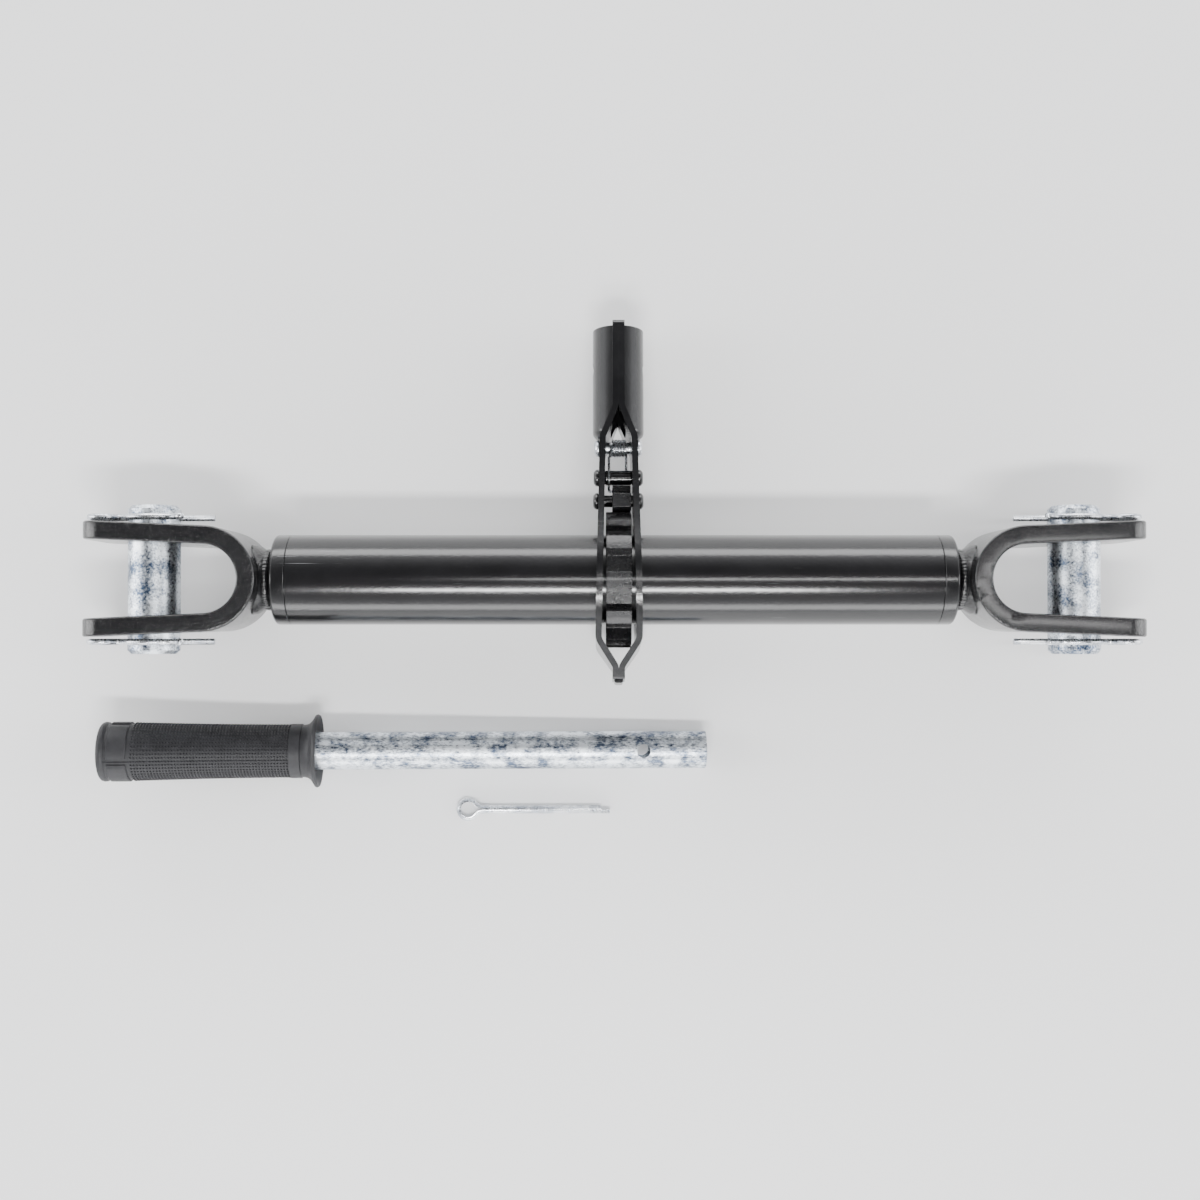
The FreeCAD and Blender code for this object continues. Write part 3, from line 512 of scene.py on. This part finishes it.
@dataclass
class Barrel:
    """The long tube with a nut in each end, and the toothed ring on it."""

    finishes: Finishes
    wall: float = 5 * MM
    seam: float = 0.35 * MM
    bevel: float = 1.6 * MM
    thread_fit: float = 0.3 * MM
    mouth: float = 0.8 * MM

    def build(self) -> None:
        """Make and dress the pieces."""
        low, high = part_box("barrel_tube")
        radius = (high.z - low.z) / 2
        bore = radius - self.wall
        tube = turned("barrel_shell", [
            (low.x, bore), (low.x, radius - self.seam), (low.x + self.seam, radius),
            (high.x - self.seam, radius), (high.x, radius - self.seam), (high.x, bore),
        ], self.finishes.barrel, around=256, closed=True)
        fitted(tube, "barrel", "black_paint", "barrel_tube")
        for side in Side:
            self.nut(side, radius)
        gear = soft_copy("ratchet_gear", "toothed_ring", self.finishes.cast, edge=0.45 * MM, steps=3)
        fitted(gear, "barrel", "cast_teeth", "ratchet_gear")

    def nut(self, side: Side, radius: float) -> None:
        """Turn one end nut, its flange bevelled at the outside and at the seam with the tube."""
        low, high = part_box(f"{side.word}_end_nut")
        face, inner = (low.x, high.x) if side is Side.LEFT else (high.x, low.x)
        inward = -side.value
        tube_low, tube_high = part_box("barrel_tube")
        seam = tube_low.x if side is Side.LEFT else tube_high.x
        rod_low, rod_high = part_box("left_rod")
        bore = (rod_high.z - rod_low.z) / 2 + self.thread_fit
        profile = [(face, bore + self.mouth), (face, radius - self.bevel - 0.5 * MM)]
        for step in range(5):
            turn = math.radians(22.5 * step)
            along = face + inward * self.bevel * (1 - math.cos(turn))
            profile.append((along, radius - self.bevel * (1 - math.sin(turn))))
        profile += [
            (seam - inward * self.seam, radius),
            (seam, radius - self.seam),
            (seam, radius - self.wall),
            (inner, radius - self.wall),
            (inner, bore),
            (face + inward * self.mouth, bore),
        ]
        nut = turned(f"{side.word}_nut", profile, self.finishes.barrel, around=192, closed=True)
        fitted(nut, "barrel", "black_paint", f"{side.word}_end_nut")


@dataclass
class ScrewEnd:
    """One screw with the strap clevis on it, the weld between them, the hitch pin and its clips."""

    finishes: Finishes
    side: Side
    pitch: float = 25.4 * MM / 6
    depth: float = 1.5 * MM
    neck: float = 4.5 * MM
    beads: int = 46

    def build(self) -> None:
        """Make and dress the pieces."""
        word = self.side.word
        body = f"{word}_end"
        strap = soft_copy(f"{word}_clevis", f"{word}_strap", self.finishes.strap)
        fitted(strap, body, "black_paint", f"{word}_clevis")
        fitted(self.screw(), body, "black_paint", f"{word}_rod")
        fitted(self.weld(), body, "black_paint", f"{word}_weld")
        pin = soft_copy(f"{word}_clevis_pin", f"{word}_hitch_pin", self.finishes.pin, edge=0.35 * MM)
        fitted(pin, f"{word}_pin", "zinc_plate", f"{word}_clevis_pin")
        for level in ("upper", "lower"):
            node = f"{word}_{level}_clip"
            clip = soft_copy(node, f"{word}_{level}_hairpin", self.finishes.wire)
            fitted(clip, node, "spring_wire", node)

    def screw(self) -> bpy.types.Object:
        """The screw: a plain neck, a helical thread of this end's hand and a bevelled tip."""
        low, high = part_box(f"{self.side.word}_rod")
        radius = (high.z - low.z) / 2
        barrel_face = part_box(f"{self.side.word}_end_nut")
        face = barrel_face[0].x if self.side is Side.LEFT else barrel_face[1].x
        root = low.x if self.side is Side.LEFT else high.x
        tip = high.x if self.side is Side.LEFT else low.x
        length = abs(tip - root)
        neck = abs(face - root) + self.neck
        per_turn = 10
        rings = int(length / self.pitch * per_turn) + 2
        tree = GeometryTree(f"{self.side.word}_screw_thread")
        long = tree.size("Length", length)
        core = tree.size("Radius", radius)
        deep = tree.size("Depth", self.depth)
        pitch = tree.size("Pitch", self.pitch)
        hand = tree.size("Hand", float(self.side.value))
        start = tree.size("Neck", neck)
        along_count = tree.size("Rings", rings)
        around_count = tree.size("Around", 49)
        grid = tree.node("GeometryNodeMeshGrid", {
            "Size X": long, "Size Y": 1.0, "Vertices X": along_count, "Vertices Y": around_count,
        })
        place = tree.node("ShaderNodeSeparateXYZ", {0: tree.node("GeometryNodeInputPosition").outputs[0]})
        along = tree.math("ADD", place.outputs["X"], tree.math("MULTIPLY", long, 0.5))
        turn = tree.math("MULTIPLY", place.outputs["Y"], -2 * math.pi)
        winding = tree.math("MULTIPLY", place.outputs["Y"], hand)
        phase = tree.math("FRACT", tree.math("ADD", tree.math("DIVIDE", along, pitch), winding))
        ridge = tree.math("ABSOLUTE", tree.math("SUBTRACT", phase, 0.5))
        flank = tree.node("ShaderNodeMapRange", {
            "Value": ridge, "From Min": 0.13, "From Max": 0.36, "To Min": 1.0, "To Max": 0.0,
        }).outputs["Result"]
        begun = tree.node("ShaderNodeMapRange", {
            "Value": tree.math("SUBTRACT", along, start), "From Min": 0.0, "From Max": self.pitch,
            "To Min": 0.0, "To Max": 1.0,
        }).outputs["Result"]
        groove = tree.math("MULTIPLY", tree.math("MULTIPLY", flank, begun), deep)
        left_over = tree.math("SUBTRACT", long, along)
        bevel = tree.node("ShaderNodeMapRange", {
            "Value": left_over, "From Min": 0.0, "From Max": 0.002, "To Min": 0.002, "To Max": 0.0,
        }).outputs["Result"]
        out = tree.math("SUBTRACT", core, tree.math("MAXIMUM", groove, bevel))
        inside = tree.math("GREATER_THAN", left_over, 1e-6)
        behind = tree.math("GREATER_THAN", along, 1e-6)
        out = tree.math("MULTIPLY", out, tree.math("MULTIPLY", inside, behind))
        spot = tree.node("ShaderNodeCombineXYZ", {
            0: along,
            1: tree.math("MULTIPLY", out, tree.math("COSINE", turn)),
            2: tree.math("MULTIPLY", out, tree.math("SINE", turn)),
        })
        shaped = tree.node(
            "GeometryNodeSetPosition", {"Geometry": grid.outputs[0], "Position": spot.outputs[0]}
        )
        merged = tree.node("GeometryNodeMergeByDistance", {"Geometry": shaped.outputs[0], "Distance": 1e-6})
        screw = tree.grow(f"{self.side.word}_screw", merged.outputs[0], self.finishes.screw)
        flip = Matrix.Rotation(0 if self.side is Side.LEFT else math.pi, 4, "Z")
        placed(screw, Matrix.Translation((root, 0, 0)) @ flip)
        tidy(screw.data)
        return smooth(screw, 50)

    def weld(self) -> bpy.types.Object:
        """The fillet weld round the screw's root, with overlapping ripples along it."""
        word = self.side.word
        low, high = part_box(f"{word}_weld")
        screw_low, screw_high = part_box(f"{word}_rod")
        inner = (screw_high.z - screw_low.z) / 2
        reach = (high.z - low.z) / 2
        tree = GeometryTree(f"{word}_weld_bead")
        count = tree.size("Ripples", self.beads)
        ring = tree.size("Ring Radius", inner + (reach - inner) * 0.36)
        fat = tree.size("Bead Radius", (reach - inner) * 0.62)
        circle = tree.node("GeometryNodeMeshCircle", {"Vertices": count, "Radius": ring})
        bead = tree.node("GeometryNodeMeshIcoSphere", {"Radius": fat, "Subdivisions": 2})
        shapes = tree.node("FunctionNodeRandomValue", {"Seed": 4}, data_type="FLOAT_VECTOR")
        shapes.inputs[0].default_value = (0.86, 0.9, 0.82)
        shapes.inputs[1].default_value = (1.08, 1.1, 1.0)
        placed_beads = tree.node("GeometryNodeInstanceOnPoints", {
            "Points": circle.outputs[0], "Instance": bead.outputs[0], "Scale": shapes.outputs[0],
        })
        ripples = tree.grow(f"{word}_weld_ripples", placed_beads.outputs[0], self.finishes.strap)
        middle = high.x - (reach - inner) * 0.75 if self.side is Side.LEFT else low.x + (reach - inner) * 0.75
        placed(ripples, Matrix.Translation((middle, 0, 0)) @ Matrix.Rotation(math.pi / 2, 4, "Y"))
        smooth(ripples, 60)
        base = soft_copy(f"{word}_weld", f"{word}_weld_base", self.finishes.strap)
        return joined(f"{word}_fillet_weld", [base, ripples])


# ---------------------------------------------------------------- ratchet head


@dataclass
class RatchetHead:
    """The two stamped halves with their rivets, the pawl and its spring."""

    finishes: Finishes
    edge: float = 0.55 * MM
    rivets: tuple = ("pawl_rivet", "spacer_rivet", "spring_rivet")

    def build(self) -> None:
        """Make and dress the pieces."""
        for side in Side:
            node = f"head_half_{side.word}"
            half = soft_copy(node, f"{side.word}_stamping", self.finishes.sheet, edge=self.edge, steps=3)
            fitted(half, "ratchet_head", "black_paint", node)
        for node in self.rivets:
            finish, slot = (self.finishes.sheet, "black_paint")
            if node == "spring_rivet":
                finish, slot = (self.finishes.wire, "zinc_plate")
            rivet = soft_copy(node, node + "_driven", finish, edge=0.8 * MM, steps=3)
            fitted(rivet, "ratchet_head", slot, node)
        weld = soft_copy("tip_weld", "tip_bead", self.finishes.strap, edge=0.3 * MM)
        fitted(weld, "ratchet_head", "black_paint", "tip_weld")
        pawl = soft_copy("pawl", "rocking_pawl", self.finishes.cast, edge=0.4 * MM)
        fitted(pawl, "pawl", "cast_teeth", "pawl")
        spring = soft_copy("pawl_spring", "torsion_spring", self.finishes.wire)
        fitted(spring, "ratchet_head", "spring_wire", "pawl_spring")


# ---------------------------------------------------------------- handle


@dataclass
class Handle:
    """The loose handle: a plated tube with a moulded, knurled grip pushed over one end."""

    finishes: Finishes
    tube_radius: float = 9.525 * MM
    wall: float = 2 * MM
    length: float = 306 * MM
    grip_length: float = 109 * MM
    end_radius: float = 14.6 * MM
    waist_radius: float = 13.3 * MM
    rim_radius: float = 18.6 * MM
    cap: float = 3 * MM
    band: float = 7 * MM
    bell: float = 7 * MM
    knurl_start: float = 16.5 * MM
    row_gap: float = 1.95 * MM
    dot_gap: float = 1.55 * MM
    parting: float = 2.2 * MM
    roll: float = math.radians(17)
    pads: int = 4
    pad_height: float = 1.6 * MM
    where: Matrix = field(default_factory=Matrix)

    def build(self) -> None:
        """Make and dress the pieces."""
        low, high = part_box("handle_tube")
        tilt = math.asin((self.rim_radius - self.tube_radius) / (self.length - self.grip_length))
        end = Vector((
            high.x - self.tube_radius * math.sin(tilt),
            (low.y + high.y) / 2,
            low.z + self.tube_radius * math.cos(tilt),
        ))
        self.where = (
            Matrix.Translation(end)
            @ Matrix.Rotation(tilt, 4, "Y")
            @ Matrix.Translation((-self.length, 0, 0))
            @ Matrix.Rotation(self.roll, 4, "X")
        )
        tube = soft_copy("handle_tube", "plated_tube", self.finishes.tube, edge=0.3 * MM)
        fitted(tube, "handle", "zinc_plate", "handle_tube")
        grip = joined("moulded_grip", [self.sleeve(), self.knurl(), *self.end_pads(), self.seam()])
        smooth(grip, 40)
        fitted(grip, "handle", "rubber_grip", "handle_grip")

    @property
    def knurl_stop(self) -> float:
        """Where the knurl ends, measured from the closed end."""
        return self.grip_length - self.bell - self.band

    def radius_at(self, along: float) -> float:
        """The sleeve's radius under the knurl."""
        share = (along - self.knurl_start) / (self.knurl_stop - self.knurl_start)
        share = min(max(share, 0.0), 1.0)
        return self.end_radius + (self.waist_radius - self.end_radius) * (1 - (1 - share) ** 1.8) - 0.35 * MM

    def sleeve(self) -> bpy.types.Object:
        """The sleeve's own body: domed end, collar, waist, band and bell."""
        bell = self.grip_length - self.bell
        profile = [(0.4 * MM, 0), (0.25 * MM, self.end_radius * 0.6), (0.9 * MM, self.end_radius * 0.86)]
        profile += [(0.35 * MM, self.end_radius * 0.9), (0.1 * MM, self.end_radius * 0.96)]
        profile += [(0.7 * MM, self.end_radius + 0.1 * MM), (1.9 * MM, self.end_radius + 0.5 * MM)]
        profile += [(3.2 * MM, self.end_radius + 0.35 * MM), (3.9 * MM, self.end_radius - 0.35 * MM)]
        stations = np.linspace(self.knurl_start, self.knurl_stop, 24)
        profile += [(station, self.radius_at(station)) for station in stations]
        ridge = self.waist_radius + 0.45 * MM
        profile += [(self.knurl_stop + 0.1 * MM, ridge), (bell - 1.6 * MM, ridge)]
        profile.append((bell - 1.2 * MM, ridge - 0.5 * MM))
        neck = ridge - 0.4 * MM
        for share in (0.0, 0.2, 0.4, 0.6, 0.8, 0.95):
            along = bell + (self.bell - 1.6 * MM) * share ** 0.75
            profile.append((along, neck + (self.rim_radius - neck) * share ** 1.6))
        profile.append((self.grip_length - 0.9 * MM, self.rim_radius))
        profile.append((self.grip_length, self.rim_radius - 0.5 * MM))
        mouth = self.tube_radius + 1.7 * MM
        for share in (0.15, 0.4, 0.7, 1.0):
            profile.append((
                self.grip_length - self.bell * 0.62 * share ** 0.8,
                self.rim_radius - 1.5 * MM + (mouth - self.rim_radius + 1.5 * MM) * share,
            ))
        profile += [
            (self.grip_length - self.bell * 0.62, self.tube_radius + 0.02 * MM),
            (self.cap, self.tube_radius + 0.02 * MM),
            (self.cap, 0),
        ]
        return placed(turned("grip_sleeve", profile, self.finishes.rubber, around=144), self.where)

    def knurl(self) -> bpy.types.Object:
        """Rows of small moulded studs along the waist, left out along the mould's parting lines."""
        rows = 4 * round(math.pi * self.end_radius / (2 * self.row_gap)) - 2
        per_row = round((self.knurl_stop - self.knurl_start) / self.dot_gap)
        tree = GeometryTree("grip_knurl")
        start = tree.size("Start", self.knurl_start + 0.8 * MM)
        stop = tree.size("Stop", self.knurl_stop - 0.8 * MM)
        thick = tree.size("End Radius", self.radius_at(self.knurl_start))
        thin = tree.size("Waist Radius", self.radius_at(self.knurl_stop))
        gap = tree.size("Parting Width", self.parting)
        along_count = tree.size("Studs per Row", per_row)
        around_count = tree.size("Rows", rows)
        grid = tree.node("GeometryNodeMeshGrid", {
            "Size X": 1.0, "Size Y": (rows - 1) / rows, "Vertices X": along_count, "Vertices Y": around_count,
        })
        place = tree.node("ShaderNodeSeparateXYZ", {0: tree.node("GeometryNodeInputPosition").outputs[0]})
        share = tree.math("ADD", place.outputs["X"], 0.5)
        along = tree.math("ADD", start, tree.math("MULTIPLY", share, tree.math("SUBTRACT", stop, start)))
        turn = tree.math("MULTIPLY", place.outputs["Y"], 2 * math.pi)
        left = tree.math("POWER", tree.math("SUBTRACT", 1.0, share), 1.8)
        out = tree.math("ADD", thin, tree.math("MULTIPLY", left, tree.math("SUBTRACT", thick, thin)))
        side = tree.math("COSINE", turn)
        rise = tree.math("SINE", turn)
        spot = tree.node("ShaderNodeCombineXYZ", {
            0: along, 1: tree.math("MULTIPLY", out, side), 2: tree.math("MULTIPLY", out, rise),
        })
        spread = tree.node(
            "GeometryNodeSetPosition", {"Geometry": grid.outputs[0], "Position": spot.outputs[0]}
        )
        near = tree.math("ABSOLUTE", tree.math("MULTIPLY", out, side))
        on_parting = tree.math("LESS_THAN", near, tree.math("MULTIPLY", gap, 0.5))
        cleared = tree.node(
            "GeometryNodeDeleteGeometry",
            {"Geometry": spread.outputs[0], "Selection": on_parting},
            domain="POINT",
        )
        stud = tree.node("GeometryNodeMeshCone", {
            "Vertices": 6, "Radius Top": 0.28 * MM, "Radius Bottom": 0.62 * MM, "Depth": 0.62 * MM,
        })
        at = tree.node("ShaderNodeSeparateXYZ", {0: tree.node("GeometryNodeInputPosition").outputs[0]})
        outward = tree.node("ShaderNodeCombineXYZ", {0: 0.0, 1: at.outputs["Y"], 2: at.outputs["Z"]})
        stance = tree.node("FunctionNodeAlignRotationToVector", {"Vector": outward.outputs[0]}, axis="Z")
        studs = tree.node("GeometryNodeInstanceOnPoints", {
            "Points": cleared.outputs[0], "Instance": stud.outputs[0], "Rotation": stance.outputs[0],
        })
        made = tree.grow("grip_studs", studs.outputs[0], self.finishes.rubber)
        return placed(made, self.where)

    def end_pads(self) -> list:
        """Raised panels round the closed end, with a gap between each two."""
        pads = []
        share = 0.86
        low, high = 5.2 * MM, self.knurl_start - 1.6 * MM
        for number in range(self.pads):
            middle = 2 * math.pi * (number + 0.5) / self.pads
            half = math.pi / self.pads * share
            pads.append(self.panel(f"grip_pad_{number}", low, high, middle - half, middle + half))
        return pads

    def panel(self, name: str, low: float, high: float, first: float, last: float) -> bpy.types.Object:
        """A raised curved panel between two stations and two angles."""
        steps = 20
        angles = np.linspace(first, last, steps)
        base = self.end_radius - 0.6 * MM
        top = self.end_radius + self.pad_height * 0.3
        soft = 0.35 * MM
        rows = [(low, base), (low, top - soft), (low + soft, top)]
        rows += [(high - soft, top), (high, top - soft), (high, base)]
        spots = []
        for index, angle in enumerate(angles):
            drop = soft if index in (0, steps - 1) else 0.0
            for along, radius in rows:
                out = max(base, radius - drop)
                spots.append((along, -out * math.cos(angle), out * math.sin(angle)))
        faces = []
        for index in range(steps - 1):
            for row in range(len(rows)):
                beside = (row + 1) % len(rows)
                faces.append((
                    index * len(rows) + row, index * len(rows) + beside,
                    (index + 1) * len(rows) + beside, (index + 1) * len(rows) + row,
                ))
        faces.append(tuple(range(len(rows))))
        faces.append(tuple((steps - 1) * len(rows) + row for row in reversed(range(len(rows)))))
        mesh = bpy.data.meshes.new(name)
        mesh.from_pydata(spots, [], faces)
        tidy(mesh)
        return placed(piece(name, mesh, self.finishes.rubber), self.where)

    def seam(self) -> bpy.types.Object:
        """The thin flash lines that the mould's parting leaves along two sides of the grip."""
        spots = []
        faces = []
        stations = np.linspace(1.5 * MM, self.knurl_stop - 0.4 * MM, 30)
        half = 0.45 * MM
        for hand in (1, -1):
            for station in stations:
                out = self.radius_at(station) if station > self.knurl_start else self.end_radius - 0.35 * MM
                base = len(spots)
                spots += [
                    (station, -half, hand * (out - 0.3 * MM)),
                    (station, 0, hand * (out + 0.42 * MM)),
                    (station, half, hand * (out - 0.3 * MM)),
                ]
                if station > stations[0]:
                    for edge in range(3):
                        beside = (edge + 1) % 3
                        faces.append((base + edge, base + beside, base + beside - 3, base + edge - 3))
            first = len(spots) - 3 * len(stations)
            faces.append((first, first + 1, first + 2))
            faces.append((len(spots) - 1, len(spots) - 2, len(spots) - 3))
        mesh = bpy.data.meshes.new("grip_seam")
        mesh.from_pydata(spots, [], faces)
        tidy(mesh)
        return placed(piece("grip_seam", mesh, self.finishes.rubber), self.where)


@dataclass
class Cotter:
    """The loose split pin that locks the handle in its socket."""

    finishes: Finishes

    def build(self) -> None:
        """Make and dress the piece."""
        pin = soft_copy("handle_cotter_pin", "split_pin", self.finishes.wire)
        fitted(pin, "handle_cotter", "spring_wire", "handle_cotter_pin")


# ---------------------------------------------------------------- studio


@dataclass
class Studio:
    """A pale floor, soft lamps and a camera that looks straight down on the set."""

    height: float = 0.754
    lens: float = 45.5
    camera_x: float = 0.22155
    camera_y: float = -0.0225
    aim_y: float = -0.0100
    sky: tuple = ((0.0, 1.0), (0.35, 0.95), (0.62, 0.45), (0.85, 0.10), (1.0, 0.05))
    sky_strength: float = 2.0

    def build(self) -> None:
        """Set the floor, the light and the camera."""
        low, _ = CAD_BOX
        self.floor(low.z)
        self.world()
        self.lamp("key", (0.22, -0.56, 1.08), (0.22, 0.0, 0.0), 0.55, 0.10, 12.0)
        self.lamp("pin_strip", (0.52, 0.0, 1.35), (0.30, 0.0, 0.0), 0.06, 0.9, 3.5)
        self.lamp("far_strip", (0.22, 1.5, 0.45), (0.22, 0.0, 0.0), 2.4, 0.5, 26.0)
        self.lamp("near_strip", (0.22, -1.5, 0.40), (0.22, 0.0, 0.0), 2.4, 0.4, 16.0)
        self.lamp("left_soft", (-1.4, 0.0, 0.50), (0.1, 0.0, 0.0), 0.5, 1.6, 16.0)
        self.lamp("right_soft", (1.9, 0.0, 0.50), (0.3, 0.0, 0.0), 0.5, 1.6, 12.0)
        self.camera()

    def floor(self, level: float) -> None:
        """A plain pale floor at the frame's lowest point."""
        shader = Shader("pale_floor")
        material = shader.finish(Base_Color=(0.97, 0.97, 0.97, 1), Roughness=0.85, Specular_IOR_Level=0.2)
        mesh = bpy.data.meshes.new("floor")
        reach = 6.0
        corners = [(x * reach, y * reach, level) for x, y in ((-1, -1), (1, -1), (1, 1), (-1, 1))]
        mesh.from_pydata(corners, [], [(0, 1, 2, 3)])
        piece("floor", mesh, material)

    def world(self) -> None:
        """Surroundings that are dark overhead and bright towards the horizon."""
        world = bpy.data.worlds.new("studio")
        bpy.context.scene.world = world
        world.use_nodes = True
        tree = world.node_tree
        where = tree.nodes.new("ShaderNodeTexCoord")
        split = tree.nodes.new("ShaderNodeSeparateXYZ")
        band = tree.nodes.new("ShaderNodeValToRGB")
        tree.links.new(where.outputs["Generated"], split.inputs[0])
        tree.links.new(split.outputs["Z"], band.inputs["Fac"])
        tree.links.new(band.outputs["Color"], tree.nodes["Background"].inputs["Color"])
        stops = band.color_ramp.elements
        while len(stops) < len(self.sky):
            stops.new(0.5)
        for stop, (place, light) in zip(stops, self.sky):
            stop.position = place
            stop.color = (light, light * 1.01, light * 1.03, 1)
        tree.nodes["Background"].inputs["Strength"].default_value = self.sky_strength

    def lamp(self, name: str, where: tuple, at: tuple, wide: float, tall: float, power: float) -> None:
        """A rectangular soft lamp aimed at a point.

        Args:
            name: The lamp's name.
            where: Its place.
            at: What it points at.
            wide: Its size along X.
            tall: Its other size.
            power: Its power in watts.
        """
        light = bpy.data.lights.new(name, "AREA")
        light.shape = "RECTANGLE"
        light.size = wide
        light.size_y = tall
        light.energy = power
        lamp = bpy.data.objects.new(name, light)
        lamp.location = where
        lamp.rotation_euler = (Vector(at) - Vector(where)).to_track_quat("-Z", "Y").to_euler()
        bpy.context.scene.collection.objects.link(lamp)

    def camera(self) -> None:
        """The camera, a hair off the vertical."""
        data = bpy.data.cameras.new("camera")
        data.lens = self.lens
        data.sensor_width = 36
        data.clip_start = 0.05
        camera = bpy.data.objects.new("camera", data)
        camera.location = (self.camera_x, self.camera_y, self.height)
        down = Vector((0, self.aim_y - self.camera_y, -self.height))
        lean = math.atan2(down.y, -down.z)
        camera.rotation_euler = (lean, 0, 0)
        bpy.context.scene.collection.objects.link(camera)
        bpy.context.scene.camera = camera


def main() -> None:
    """Build every sub-assembly, then the studio."""
    logging.basicConfig(level=logging.INFO, format="%(name)s: %(message)s")
    finishes = Finishes()
    parts = [Barrel(finishes), *(ScrewEnd(finishes, side) for side in Side)]
    parts += [RatchetHead(finishes), Handle(finishes), Cotter(finishes)]
    for part in parts:
        part.build()
    Studio().build()


if __name__ == "__main__":
    main()
